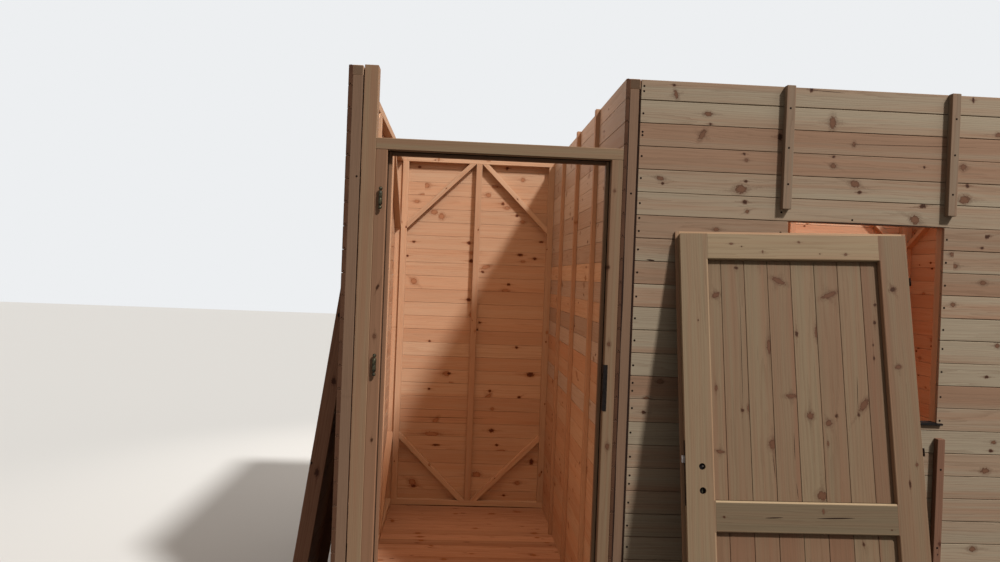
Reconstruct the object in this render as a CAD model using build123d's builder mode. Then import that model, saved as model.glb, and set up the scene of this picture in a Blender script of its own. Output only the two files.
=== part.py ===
from build123d import *
import math
import os

os.makedirs("parts", exist_ok=True)

# Sizes in millimetres. X runs along the front, Y runs from front to back, +Z is up.
# The origin is on the ground, below the middle of the walls' plan.

# Whole house
house_width = 3588.0
house_depth = 2400.0
panel_height = 2340.0
annex_width = 1020.0

# Timber sections
board_thick = 16.0
stud_width = 40.0
stud_depth = 40.0
plate_thick = 40.0
brace_width = 31.0
side_rise = 450.0
back_bay = 490.0

# Floor
sleeper_width = 90.0
sleeper_height = 90.0
joist_height = 75.0
joist_width = 45.0
floor_thick = 20.0
joist_count = 7
sleeper_count = 5

# Door frame and the post beside it
post_width = 54.0
post_depth = 70.0
post_gap = 5.0
post_rise = 3.0
jamb_face = 45.0
frame_depth = 70.0
rebate_depth = 42.0
stop_width = 15.0
doorway_drop = 320.0
head_height = 45.0
sill_height = 20.0

# Front panel
panel_gap = 4.0
window_left = 605.0
window_width = 635.0
window_drop = 530.0
window_height = 780.0
batten_width = 36.0
batten_depth = 28.0
batten_clear = 45.0
partition_batten_depth = 20.0

# Metal parts
hinge_height = 87.0
hinge_radius = 7.5
hinge_neck_radius = 5.0
hinge_stand_off = 14.0
hinge_inset = 20.0
hinge_stem_radius = 3.5
hinge_stem_spacing = 40.0
hinge_drops = (188.0, 829.0)
hinge_rise = 250.0
strike_height = 180.0
strike_level = 1129.0
strike_face = 14.0
strike_return = 22.0
strike_thick = 2.0
keep_width = 13.0
latch_keep_height = 22.0
bolt_keep_height = 42.0
sill_reach = 34.0
sill_thick = 3.0
sill_lip = 12.0
sill_past = 20.0

# Door leaf, taken off its hinges and leant on the front panel
leaf_width = 863.0
leaf_height = 1960.0
leaf_thick = 40.0
leaf_stile = 105.0
leaf_top_rail = 100.0
leaf_mid_rail = 111.0
leaf_mid_drop = 1001.0
leaf_foot_rail = 150.0
leaf_board = 17.0
leaf_start = 164.0
leaf_lean = 11.55
leaf_turn = -4.39
leaf_roll = 1.37
lock_drop = 905.0
lock_backset = 60.0
spindle_rise = 24.0
cylinder_fall = 62.0
latch_rise = 44.0
latch_height = 16.0
latch_reach = 11.0
latch_thick = 12.0
arris_radius = 7.0
lock_hole_radius = 12.0
forend_height = 235.0
forend_width = 20.0
forend_thick = 3.0
case_height = 165.0
case_fall = 12.0
case_length = 84.0
case_thick = 14.0
lock_clear = 0.3

# Loose panel that leans on the left wall
spare_length = 1671.0
spare_depth = 900.0
spare_start = 475.0
spare_thick = 66.0
spare_bar = 30.0
spare_lean = 7.7
rest_clear = 0.2

# Levels and lines that the pieces share
floor_z = sleeper_height + joist_height + floor_thick
half_width = house_width / 2
half_depth = house_depth / 2
wall_thick = board_thick + stud_depth
left_inner = -half_width + wall_thick
right_inner = half_width - wall_thick
partition_face = left_inner + annex_width
partition_inner = partition_face + wall_thick
front_start = partition_inner + panel_gap
front_length = right_inner - front_start
back_length = right_inner - partition_inner
clear_top = panel_height - plate_thick
doorway_height = panel_height - doorway_drop
window_right = window_left + window_width
window_top = panel_height - window_drop
window_foot = window_top - window_height
far_stud = (window_right + front_length - stud_width) / 2
post_left = left_inner + post_gap
frame_left = post_left + post_width
frame_right = partition_face

# Working planes: sketch x runs along the wall, sketch y is up and the normal points outdoors
left_plane = Plane(
    origin=(-half_width + board_thick, half_depth, floor_z), x_dir=(0, -1, 0), z_dir=(-1, 0, 0)
)
partition_plane = Plane(
    origin=(partition_face + board_thick, half_depth, floor_z), x_dir=(0, -1, 0), z_dir=(-1, 0, 0)
)
right_plane = Plane(
    origin=(half_width - board_thick, -half_depth, floor_z), x_dir=(0, 1, 0), z_dir=(1, 0, 0)
)
front_plane = Plane(
    origin=(front_start, -half_depth + board_thick, floor_z), x_dir=(1, 0, 0), z_dir=(0, -1, 0)
)
annex_plane = Plane(
    origin=(partition_face, half_depth - board_thick, floor_z), x_dir=(-1, 0, 0), z_dir=(0, 1, 0)
)
back_plane = Plane(
    origin=(right_inner, half_depth - board_thick, floor_z), x_dir=(-1, 0, 0), z_dir=(0, 1, 0)
)


def bars(plane, spans, low, high, depth):
    """Upright bars from low to high, one for each (start, end) span along the wall."""
    with BuildPart() as piece:
        with BuildSketch(plane):
            for start, end in spans:
                with Locations(((start + end) / 2, (low + high) / 2)):
                    Rectangle(end - start, high - low)
        extrude(amount=depth)
    return piece


def rails(plane, length, levels, depth):
    """Level bars over the whole length, one for each (low, high) pair of levels."""
    with BuildPart() as piece:
        with BuildSketch(plane):
            for low, high in levels:
                with Locations((length / 2, (low + high) / 2)):
                    Rectangle(length, high - low)
        extrude(amount=depth)
    return piece


def brace_outline(stud_face, next_face, plate_face, rise):
    """Corners of a brace whose ends are cut to lie on a stud's side and on a plate."""
    run = next_face - stud_face
    slant = math.hypot(run, rise)
    side = 1 if plate_face < panel_height / 2 else -1
    foot = brace_width * slant / abs(rise)
    cheek = brace_width * slant / abs(run)
    step = math.copysign(foot, run)
    return [
        (stud_face, plate_face + side * rise),
        (next_face, plate_face),
        (next_face - step, plate_face),
        (stud_face, plate_face + side * (rise - cheek)),
    ]


def braces(plane, bays, rise, depth):
    """A brace at the top and at the foot of each (outer stud face, inner stud face) bay."""
    with BuildPart() as piece:
        with BuildSketch(plane):
            for outer, inner in bays:
                for level in (plate_thick, clear_top):
                    with BuildLine():
                        Polyline(*brace_outline(outer, inner, level, rise), close=True)
                    make_face()
        extrude(amount=depth)
    return piece


# Floor of boards on joists and sleepers
with BuildPart() as floor_boards:
    with BuildSketch(Plane.XY.offset(sleeper_height + joist_height)):
        Rectangle(house_width, house_depth)
    extrude(amount=floor_thick)
floor_boards.part.label = "floor_boards"
export_step(floor_boards.part, "parts/floor_boards.step")

with BuildPart() as floor_joists:
    with BuildSketch(Plane.XY.offset(sleeper_height)):
        with GridLocations((house_width - joist_width) / (joist_count - 1), 1, joist_count, 1):
            Rectangle(joist_width, house_depth)
    extrude(amount=joist_height)
floor_joists.part.label = "floor_joists"
export_step(floor_joists.part, "parts/floor_joists.step")

with BuildPart() as floor_sleepers:
    with BuildSketch(Plane.XY):
        with GridLocations(1, (house_depth - sleeper_width) / (sleeper_count - 1), 1, sleeper_count):
            Rectangle(house_width, sleeper_width)
    extrude(amount=sleeper_height)
floor_sleepers.part.label = "floor_sleepers"
export_step(floor_sleepers.part, "parts/floor_sleepers.step")

# Left wall of the narrow room
side_third = (house_depth - stud_width) / 3
side_studs = [(side_third * step, side_third * step + stud_width) for step in range(4)]
side_bays = [
    (stud_width, side_third),
    (house_depth - stud_width, house_depth - side_third),
]
wall_levels = [(0, plate_thick), (clear_top, panel_height)]

left_wall_boards = rails(left_plane, house_depth, [(0, panel_height)], board_thick)
left_wall_boards.part.label = "left_wall_boards"
export_step(left_wall_boards.part, "parts/left_wall_boards.step")

left_wall_studs = bars(left_plane, side_studs, plate_thick, clear_top, -stud_depth)
left_wall_studs.part.label = "left_wall_studs"
export_step(left_wall_studs.part, "parts/left_wall_studs.step")

left_wall_plates = rails(left_plane, house_depth, wall_levels, -stud_depth)
left_wall_plates.part.label = "left_wall_plates"
export_step(left_wall_plates.part, "parts/left_wall_plates.step")

left_wall_braces = braces(left_plane, side_bays, side_rise, -stud_depth)
left_wall_braces.part.label = "left_wall_braces"
export_step(left_wall_braces.part, "parts/left_wall_braces.step")

# Right wall of the main room, which mirrors the left one
right_wall_boards = rails(right_plane, house_depth, [(0, panel_height)], board_thick)
right_wall_boards.part.label = "right_wall_boards"
export_step(right_wall_boards.part, "parts/right_wall_boards.step")

right_wall_studs = bars(right_plane, side_studs, plate_thick, clear_top, -stud_depth)
right_wall_studs.part.label = "right_wall_studs"
export_step(right_wall_studs.part, "parts/right_wall_studs.step")

right_wall_plates = rails(right_plane, house_depth, wall_levels, -stud_depth)
right_wall_plates.part.label = "right_wall_plates"
export_step(right_wall_plates.part, "parts/right_wall_plates.step")

right_wall_braces = braces(right_plane, side_bays, side_rise, -stud_depth)
right_wall_braces.part.label = "right_wall_braces"
export_step(right_wall_braces.part, "parts/right_wall_braces.step")

# Back wall of the narrow room
annex_centre = (annex_width - stud_width) / 2
annex_studs = [
    (0, stud_width),
    (annex_centre, annex_centre + stud_width),
    (annex_width - stud_width, annex_width),
]
annex_bays = [
    (stud_width, annex_centre),
    (annex_width - stud_width, annex_centre + stud_width),
]

annex_back_boards = rails(annex_plane, annex_width, [(0, panel_height)], board_thick)
annex_back_boards.part.label = "annex_back_boards"
export_step(annex_back_boards.part, "parts/annex_back_boards.step")

annex_back_studs = bars(annex_plane, annex_studs, plate_thick, clear_top, -stud_depth)
annex_back_studs.part.label = "annex_back_studs"
export_step(annex_back_studs.part, "parts/annex_back_studs.step")

annex_back_plates = rails(annex_plane, annex_width, wall_levels, -stud_depth)
annex_back_plates.part.label = "annex_back_plates"
export_step(annex_back_plates.part, "parts/annex_back_plates.step")

annex_back_braces = braces(annex_plane, annex_bays, annex_centre - stud_width, -stud_depth)
annex_back_braces.part.label = "annex_back_braces"
export_step(annex_back_braces.part, "parts/annex_back_braces.step")

# Back wall of the main room
back_third = (back_length - stud_width) / 3
back_studs = [(back_third * step, back_third * step + stud_width) for step in range(4)]
back_bays = [
    (stud_width, stud_width + back_bay),
    (back_length - stud_width, back_length - stud_width - back_bay),
]

main_back_boards = rails(back_plane, back_length, [(0, panel_height)], board_thick)
main_back_boards.part.label = "main_back_boards"
export_step(main_back_boards.part, "parts/main_back_boards.step")

main_back_studs = bars(back_plane, back_studs, plate_thick, clear_top, -stud_depth)
main_back_studs.part.label = "main_back_studs"
export_step(main_back_studs.part, "parts/main_back_studs.step")

main_back_plates = rails(back_plane, back_length, wall_levels, -stud_depth)
main_back_plates.part.label = "main_back_plates"
export_step(main_back_plates.part, "parts/main_back_plates.step")

main_back_braces = braces(back_plane, back_bays, back_bay, -stud_depth)
main_back_braces.part.label = "main_back_braces"
export_step(main_back_braces.part, "parts/main_back_braces.step")

# Partition between the two rooms, boarded on the narrow room's side
partition_bay = (house_depth - stud_width) / 4
partition_spans = [(partition_bay * step, partition_bay * step + stud_width) for step in range(5)]
partition_bays = [
    (stud_width, partition_bay),
    (house_depth - stud_width, house_depth - partition_bay),
]
partition_lines = [
    (partition_bay * step + (stud_width - batten_width) / 2,
     partition_bay * step + (stud_width + batten_width) / 2)
    for step in (1, 2, 3)
]

partition_boards = rails(partition_plane, house_depth, [(0, panel_height)], board_thick)
partition_boards.part.label = "partition_boards"
export_step(partition_boards.part, "parts/partition_boards.step")

partition_studs = bars(partition_plane, partition_spans, plate_thick, clear_top, -stud_depth)
partition_studs.part.label = "partition_studs"
export_step(partition_studs.part, "parts/partition_studs.step")

partition_plates = rails(partition_plane, house_depth, wall_levels, -stud_depth)
partition_plates.part.label = "partition_plates"
export_step(partition_plates.part, "parts/partition_plates.step")

partition_braces = braces(partition_plane, partition_bays, side_rise, -stud_depth)
partition_braces.part.label = "partition_braces"
export_step(partition_braces.part, "parts/partition_braces.step")

partition_battens = bars(
    partition_plane.offset(board_thick), partition_lines, 0, panel_height, partition_batten_depth
)
partition_battens.part.label = "partition_battens"
export_step(partition_battens.part, "parts/partition_battens.step")

# Front panel with its window opening
front_studs = [
    (0, stud_width),
    (window_left - stud_width, window_left),
    (window_right, window_right + stud_width),
    (far_stud, far_stud + stud_width),
    (front_length - stud_width, front_length),
]
front_bays = [
    (stud_width, window_left - stud_width),
    (front_length - stud_width, far_stud + stud_width),
]

with BuildPart() as front_wall_boards:
    with BuildSketch(front_plane):
        with Locations((front_length / 2, panel_height / 2)):
            Rectangle(front_length, panel_height)
        with Locations((window_left + window_width / 2, window_foot + window_height / 2)):
            Rectangle(window_width, window_height, mode=Mode.SUBTRACT)
    extrude(amount=board_thick)
front_wall_boards.part.label = "front_wall_boards"
export_step(front_wall_boards.part, "parts/front_wall_boards.step")

front_wall_studs = bars(front_plane, front_studs, plate_thick, clear_top, -stud_depth)
front_wall_studs.part.label = "front_wall_studs"
export_step(front_wall_studs.part, "parts/front_wall_studs.step")

front_wall_plates = rails(front_plane, front_length, wall_levels, -stud_depth)
front_wall_plates.part.label = "front_wall_plates"
export_step(front_wall_plates.part, "parts/front_wall_plates.step")

front_wall_braces = braces(front_plane, front_bays, side_rise, -stud_depth)
front_wall_braces.part.label = "front_wall_braces"
export_step(front_wall_braces.part, "parts/front_wall_braces.step")

with BuildPart() as window_rails:
    with BuildSketch(front_plane):
        with Locations((window_left + window_width / 2, window_foot - stud_width / 2)):
            Rectangle(window_width, stud_width)
        with Locations((window_left + window_width / 2, window_top + stud_width / 2)):
            Rectangle(window_width, stud_width)
    extrude(amount=-stud_depth)
window_rails.part.label = "window_rails"
export_step(window_rails.part, "parts/window_rails.step")

batten_lines = [
    (window_left - batten_width, window_left),
    (window_right - 4, window_right - 4 + batten_width),
]
with BuildPart() as front_wall_battens:
    with BuildSketch(front_plane.offset(board_thick)):
        for start, end in batten_lines:
            with Locations(((start + end) / 2, (window_top + batten_clear + panel_height) / 2)):
                Rectangle(end - start, panel_height - window_top - batten_clear)
            with Locations(((start + end) / 2, (window_foot - batten_clear) / 2)):
                Rectangle(end - start, window_foot - batten_clear)
        with Locations((far_stud + stud_width / 2, panel_height / 2)):
            Rectangle(batten_width, panel_height)
    extrude(amount=batten_depth)
front_wall_battens.part.label = "front_wall_battens"
export_step(front_wall_battens.part, "parts/front_wall_battens.step")

# Metal strip at the window's foot, bent down at its front edge
with BuildPart() as window_sill:
    with BuildSketch(Plane.YZ.offset(front_start + window_left - sill_past)):
        with BuildLine():
            Polyline(
                (-half_depth, floor_z + window_foot),
                (-half_depth - sill_reach, floor_z + window_foot - 2),
                (-half_depth - sill_reach, floor_z + window_foot - 2 - sill_lip),
                (-half_depth - sill_reach + sill_thick, floor_z + window_foot - 2 - sill_lip),
                (-half_depth - sill_reach + sill_thick, floor_z + window_foot - 2 - sill_thick),
                (-half_depth, floor_z + window_foot - sill_thick),
                close=True,
            )
        make_face()
    extrude(amount=window_width + 2 * sill_past)
window_sill.part.label = "window_sill"
export_step(window_sill.part, "parts/window_sill.step")

# Planed post beside the door frame
with BuildPart() as front_post:
    with BuildSketch(Plane.XY.offset(floor_z)):
        with Locations((post_left + post_width / 2, -half_depth + post_depth / 2)):
            Rectangle(post_width, post_depth)
    extrude(amount=panel_height + post_rise)
front_post.part.label = "front_post"
export_step(front_post.part, "parts/front_post.step")

# Rebated door frame: the leaf's rebate faces the front
rebate_y = -half_depth + rebate_depth
stop_depth = frame_depth - rebate_depth
clear_left = frame_left + jamb_face
clear_right = frame_right - jamb_face
with BuildPart() as door_jambs:
    with BuildSketch(Plane.XY.offset(floor_z)):
        for side, inner in ((frame_left, clear_left), (frame_right, clear_right)):
            with Locations(((side + inner) / 2, -half_depth + frame_depth / 2)):
                Rectangle(jamb_face, frame_depth)
            reach = stop_width if inner > side else -stop_width
            with Locations((inner + reach / 2, rebate_y + stop_depth / 2)):
                Rectangle(stop_width, stop_depth)
    extrude(amount=doorway_height)
door_jambs.part.label = "door_jambs"
export_step(door_jambs.part, "parts/door_jambs.step")

with BuildPart() as door_head:
    with BuildSketch(Plane.XY.offset(floor_z + doorway_height)):
        with Locations(((frame_left + frame_right) / 2, -half_depth + frame_depth / 2)):
            Rectangle(frame_right - frame_left, frame_depth)
    extrude(amount=head_height)
    with BuildSketch(Plane.XY.offset(floor_z + doorway_height)):
        with Locations(((frame_left + frame_right) / 2, rebate_y + stop_depth / 2)):
            Rectangle(clear_right - clear_left - 2 * stop_width, stop_depth)
    extrude(amount=-stop_width)
door_head.part.label = "door_head"
export_step(door_head.part, "parts/door_head.step")

with BuildPart() as door_sill:
    with BuildSketch(Plane.XY.offset(floor_z)):
        with Locations(((frame_left + frame_right) / 2, -half_depth + rebate_depth / 2)):
            Rectangle(clear_right - clear_left, rebate_depth)
    extrude(amount=sill_height)
    with BuildSketch(Plane.XY.offset(floor_z)):
        with Locations(((frame_left + frame_right) / 2, rebate_y + stop_depth / 2)):
            Rectangle(clear_right - clear_left - 2 * stop_width, stop_depth)
    extrude(amount=sill_height + stop_width)
door_sill.part.label = "door_sill"
export_step(door_sill.part, "parts/door_sill.step")

# Hinges left on the jamb: turned barrels with a knob at each end, on two stems screwed into it
hinge_axis = (clear_left - hinge_inset, -half_depth - hinge_stand_off)
hinge_levels = [doorway_height - drop for drop in hinge_drops] + [hinge_rise]
knob = hinge_radius * 0.9
shank = hinge_height / 2 - knob
with BuildPart() as hinges:
    for level in hinge_levels:
        turning_plane = Plane(
            origin=(hinge_axis[0], hinge_axis[1], floor_z + level), x_dir=(1, 0, 0), z_dir=(0, -1, 0)
        )
        with BuildSketch(turning_plane):
            with BuildLine():
                Polyline(
                    (0, -hinge_height / 2),
                    (knob / 2, -hinge_height / 2),
                    (knob, -shank - knob * 0.6),
                    (knob, -shank - knob * 0.3),
                    (hinge_neck_radius, -shank),
                    (hinge_radius, hinge_neck_radius / 2 - shank),
                    (hinge_radius, shank - hinge_neck_radius / 2),
                    (hinge_neck_radius, shank),
                    (knob, shank + knob * 0.3),
                    (knob, shank + knob * 0.6),
                    (knob / 2, hinge_height / 2),
                    (0, hinge_height / 2),
                    close=True,
                )
            make_face()
        revolve(axis=Axis((hinge_axis[0], hinge_axis[1], 0), (0, 0, 1)))
        with BuildSketch(Plane.XZ.offset(half_depth)):
            with Locations((hinge_axis[0], floor_z + level)):
                with GridLocations(1, hinge_stem_spacing, 1, 2):
                    Circle(hinge_stem_radius)
        extrude(amount=hinge_stand_off)
hinges.part.label = "hinges"
export_step(hinges.part, "parts/hinges.step")

# Angled strike plate around the edge of the right jamb
with BuildPart() as strike_plate:
    with BuildSketch(Plane.XY.offset(floor_z + strike_level - strike_height / 2)):
        with BuildLine():
            Polyline(
                (clear_right + strike_face, -half_depth),
                (clear_right + strike_face, -half_depth - strike_thick),
                (clear_right - strike_thick, -half_depth - strike_thick),
                (clear_right - strike_thick, -half_depth + strike_return),
                (clear_right, -half_depth + strike_return),
                (clear_right, -half_depth),
                close=True,
            )
        make_face()
    extrude(amount=strike_height)
    with BuildSketch(Plane.YZ.offset(clear_right - strike_thick)):
        with Locations((-half_depth + strike_return / 2, floor_z + strike_level + strike_height / 4)):
            Rectangle(keep_width, latch_keep_height)
        with Locations((-half_depth + strike_return / 2, floor_z + strike_level - strike_height / 5)):
            Rectangle(keep_width, bolt_keep_height)
    extrude(amount=strike_thick, mode=Mode.SUBTRACT)
strike_plate.part.label = "strike_plate"
export_step(strike_plate.part, "parts/strike_plate.step")

# Door leaf: its own axes follow from how far it is turned, leant and rolled
turn = math.radians(leaf_turn)
lean = math.radians(leaf_lean)
roll = math.radians(leaf_roll)
along = Vector(math.cos(turn), math.sin(turn), 0)
inward = Vector(-math.sin(turn), math.cos(turn), 0)
upright = Vector(0, 0, 1) * math.cos(lean) + inward * math.sin(lean)
leaf_x = along * math.cos(roll) + upright * math.sin(roll)
leaf_y = upright * math.cos(roll) - along * math.sin(roll)
leaf_normal = leaf_x.cross(leaf_y)
leaf_top = leaf_y.Z * leaf_height + abs(leaf_normal.Z) * leaf_thick + rest_clear
leaf_front = -half_depth - leaf_thick * abs(leaf_normal.Y) - rest_clear
leaf_origin = Vector(front_start + leaf_start, leaf_front, leaf_top) - leaf_y * leaf_height
leaf_plane = Plane(origin=leaf_origin, x_dir=leaf_x, z_dir=leaf_normal)

mid_top = leaf_height - leaf_mid_drop
mid_foot = mid_top - leaf_mid_rail
panel_left = leaf_stile
panel_right = leaf_width - leaf_stile
panel_levels = [(leaf_foot_rail, mid_foot), (mid_top, leaf_height - leaf_top_rail)]

lock_level = leaf_height - lock_drop
spindle_level = lock_level + spindle_rise
cylinder_level = lock_level - cylinder_fall
case_level = lock_level - case_fall
mortise_centre = -leaf_thick / 2
with BuildPart() as leaf_stiles:
    with BuildSketch(leaf_plane):
        for middle in (leaf_stile / 2, leaf_width - leaf_stile / 2):
            with Locations((middle, leaf_height / 2)):
                Rectangle(leaf_stile, leaf_height)
    extrude(amount=-leaf_thick)
    with BuildSketch(leaf_plane):
        with Locations((lock_backset, spindle_level), (lock_backset, cylinder_level)):
            Circle(lock_hole_radius)
    extrude(amount=-leaf_thick, mode=Mode.SUBTRACT)
    with BuildSketch(leaf_plane.offset(mortise_centre + forend_width / 2)):
        with Locations((forend_thick / 2, lock_level)):
            Rectangle(forend_thick, forend_height)
    extrude(amount=-forend_width, mode=Mode.SUBTRACT)
    with BuildSketch(leaf_plane.offset(mortise_centre + case_thick / 2 + lock_clear)):
        with Locations(((forend_thick + case_length + lock_clear) / 2, case_level)):
            Rectangle(forend_thick + case_length + lock_clear, case_height + 2 * lock_clear)
    extrude(amount=-case_thick - 2 * lock_clear, mode=Mode.SUBTRACT)
    for low, high in panel_levels:
        with BuildSketch(Plane(origin=leaf_origin + leaf_y * low, x_dir=leaf_x, z_dir=leaf_y)):
            for edge, side in ((panel_left, -1), (panel_right, 1)):
                with Locations((edge + side * arris_radius / 2, arris_radius / 2)):
                    Rectangle(arris_radius, arris_radius)
                with Locations((edge + side * arris_radius, arris_radius)):
                    Circle(arris_radius, mode=Mode.SUBTRACT)
        extrude(amount=high - low, mode=Mode.SUBTRACT)
leaf_stiles.part.label = "leaf_stiles"
export_step(leaf_stiles.part, "parts/leaf_stiles.step")

leaf_rail_levels = [
    (0, leaf_foot_rail),
    (mid_foot, mid_top),
    (leaf_height - leaf_top_rail, leaf_height),
]
with BuildPart() as leaf_rails:
    with BuildSketch(leaf_plane):
        for low, high in leaf_rail_levels:
            with Locations((leaf_width / 2, (low + high) / 2)):
                Rectangle(panel_right - panel_left, high - low)
    extrude(amount=-leaf_thick)
    level_edges = leaf_rails.edges().filter_by(Axis(leaf_origin, leaf_x))
    front_edges = level_edges.group_by(Axis(leaf_origin, leaf_normal), tol_digits=3)[-1]
    fillet(front_edges.sort_by(Axis(leaf_origin, leaf_y))[1:-1], arris_radius)
leaf_rails.part.label = "leaf_rails"
export_step(leaf_rails.part, "parts/leaf_rails.step")

with BuildPart() as leaf_boards:
    with BuildSketch(leaf_plane.offset(-leaf_thick + leaf_board)):
        for low, high in panel_levels:
            with Locations((leaf_width / 2, (low + high) / 2)):
                Rectangle(panel_right - panel_left, high - low)
    extrude(amount=-leaf_board)
leaf_boards.part.label = "leaf_boards"
export_step(leaf_boards.part, "parts/leaf_boards.step")

# Mortise lock: forend let into the stile's edge, case behind it and a latch that stands out
with BuildPart() as leaf_lock:
    with BuildSketch(leaf_plane.offset(mortise_centre + forend_width / 2 - lock_clear)):
        with Locations(((forend_thick) / 2, lock_level)):
            Rectangle(forend_thick, forend_height - 2 * lock_clear)
    extrude(amount=-forend_width + 2 * lock_clear)
    with BuildSketch(leaf_plane.offset(mortise_centre + case_thick / 2)):
        with Locations((forend_thick + (case_length - forend_thick) / 2, case_level)):
            Rectangle(case_length - forend_thick, case_height)
    extrude(amount=-case_thick)
    latch_foot = leaf_origin + leaf_y * (lock_level + latch_rise - latch_height / 2)
    with BuildSketch(Plane(origin=latch_foot, x_dir=leaf_x, z_dir=leaf_y)):
        with BuildLine():
            Polyline(
                (0, (leaf_thick - latch_thick) / 2),
                (-latch_reach, (leaf_thick - latch_thick) / 2),
                (-latch_reach / 3, (leaf_thick + latch_thick) / 2),
                (0, (leaf_thick + latch_thick) / 2),
                close=True,
            )
        make_face()
    extrude(amount=latch_height)
leaf_lock.part.label = "leaf_lock"
export_step(leaf_lock.part, "parts/leaf_lock.step")

# Loose panel that stands on the ground, its top edge against the left wall
tilt = math.radians(spare_lean)
spare_foot = -half_width - rest_clear - spare_length * math.sin(tilt) - spare_thick * math.cos(tilt)
spare_plane = Plane(
    origin=(spare_foot, -half_depth + spare_start, spare_thick * math.sin(tilt) + rest_clear),
    x_dir=(0, 1, 0),
    z_dir=(math.cos(tilt), 0, -math.sin(tilt)),
)
spare_spans = [(0, spare_bar), (spare_depth - spare_bar, spare_depth)]
spare_sides = bars(spare_plane, spare_spans, 0, spare_length, spare_thick)
spare_sides.part.label = "spare_sides"
export_step(spare_sides.part, "parts/spare_sides.step")

with BuildPart() as spare_ends:
    with BuildSketch(spare_plane):
        for low in (0, spare_length - spare_bar):
            with Locations((spare_depth / 2, low + spare_bar / 2)):
                Rectangle(spare_depth - 2 * spare_bar, spare_bar)
    extrude(amount=spare_thick)
spare_ends.part.label = "spare_ends"
export_step(spare_ends.part, "parts/spare_ends.step")

with BuildPart() as spare_boards:
    with BuildSketch(spare_plane):
        with Locations((spare_depth / 2, spare_length / 2)):
            Rectangle(spare_depth - 2 * spare_bar, spare_length - 2 * spare_bar)
    extrude(amount=board_thick)
spare_boards.part.label = "spare_boards"
export_step(spare_boards.part, "parts/spare_boards.step")

# Battens over the boards outside the main room's right and back walls, on the stud lines
outer_lines = [
    (start + (stud_width - batten_width) / 2, start + (stud_width + batten_width) / 2)
    for start, end in side_studs[1:3]
]
back_lines = [
    (start + (stud_width - batten_width) / 2, start + (stud_width + batten_width) / 2)
    for start, end in back_studs[1:3]
]
with BuildPart() as outer_battens:
    for plane, lines in ((right_plane, outer_lines), (back_plane, back_lines)):
        with BuildSketch(plane.offset(board_thick)):
            for start, end in lines:
                with Locations(((start + end) / 2, panel_height / 2)):
                    Rectangle(end - start, panel_height)
        extrude(amount=partition_batten_depth)
outer_battens.part.label = "outer_battens"
export_step(outer_battens.part, "parts/outer_battens.step")
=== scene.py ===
import math

import bmesh
import bpy
import numpy as np
from mathutils import Matrix, Vector


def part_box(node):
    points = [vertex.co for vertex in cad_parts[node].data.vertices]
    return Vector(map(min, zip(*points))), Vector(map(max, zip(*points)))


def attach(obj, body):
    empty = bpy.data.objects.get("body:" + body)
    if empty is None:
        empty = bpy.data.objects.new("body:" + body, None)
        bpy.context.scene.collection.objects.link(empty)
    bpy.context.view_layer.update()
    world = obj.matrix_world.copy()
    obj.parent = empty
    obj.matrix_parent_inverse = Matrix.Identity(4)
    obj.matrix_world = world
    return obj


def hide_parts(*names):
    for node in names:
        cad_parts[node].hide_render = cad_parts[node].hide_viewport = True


# A part-built garden house: framed panels clad with tongued boards, a rebated door frame,
# the door leaf and a loose panel leant against it. Metres throughout.

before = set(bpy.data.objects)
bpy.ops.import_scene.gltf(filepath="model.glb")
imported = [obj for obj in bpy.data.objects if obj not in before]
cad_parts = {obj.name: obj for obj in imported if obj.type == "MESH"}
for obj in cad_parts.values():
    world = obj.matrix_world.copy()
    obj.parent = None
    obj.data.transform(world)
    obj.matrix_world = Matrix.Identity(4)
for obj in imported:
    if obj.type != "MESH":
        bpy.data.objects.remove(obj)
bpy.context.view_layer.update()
scene = bpy.context.scene
scene.view_settings.view_transform = "Standard"
draws = np.random.default_rng(41)
print("frame loaded:", len(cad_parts), "nodes")

mm = 0.001
unitX, unitY, unitZ = np.eye(3)
noKnot = (50.0, 50.0, 0.5 * mm)   # a knot far off every board


def linear(hexColour):
    # sRGB hex to linear: c / 12.92 below 0.04045, else ((c + 0.055) / 1.055) ** 2.4
    srgb = np.array([int(hexColour[i:i + 2], 16) / 255 for i in (1, 3, 5)])
    rgb = np.where(srgb <= 0.04045, srgb / 12.92, ((srgb + 0.055) / 1.055) ** 2.4)
    return (*rgb, 1.0)


def addNode(tree, kind, inputs=(), output=None, **settings):
    # One node with its settings. Inputs, in order or by key, are values or other nodes' outputs; it gives the
    # output asked for, or else the first one in use
    node = tree.nodes.new("ShaderNode" + kind)
    for key, value in settings.items():
        setattr(node, key, value)
    for key, value in inputs.items() if isinstance(inputs, dict) else enumerate(inputs):
        if isinstance(value, bpy.types.NodeSocket):
            tree.links.new(value, node.inputs[key])
        else:
            node.inputs[key].default_value = value
    return node.outputs[output] if output else next(socket for socket in node.outputs if socket.enabled)


def emptyMaterial(name):
    material = bpy.data.materials.new(name)
    material.use_nodes = True
    tree = material.node_tree
    return material, tree, tree.nodes["Principled BSDF"]


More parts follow.
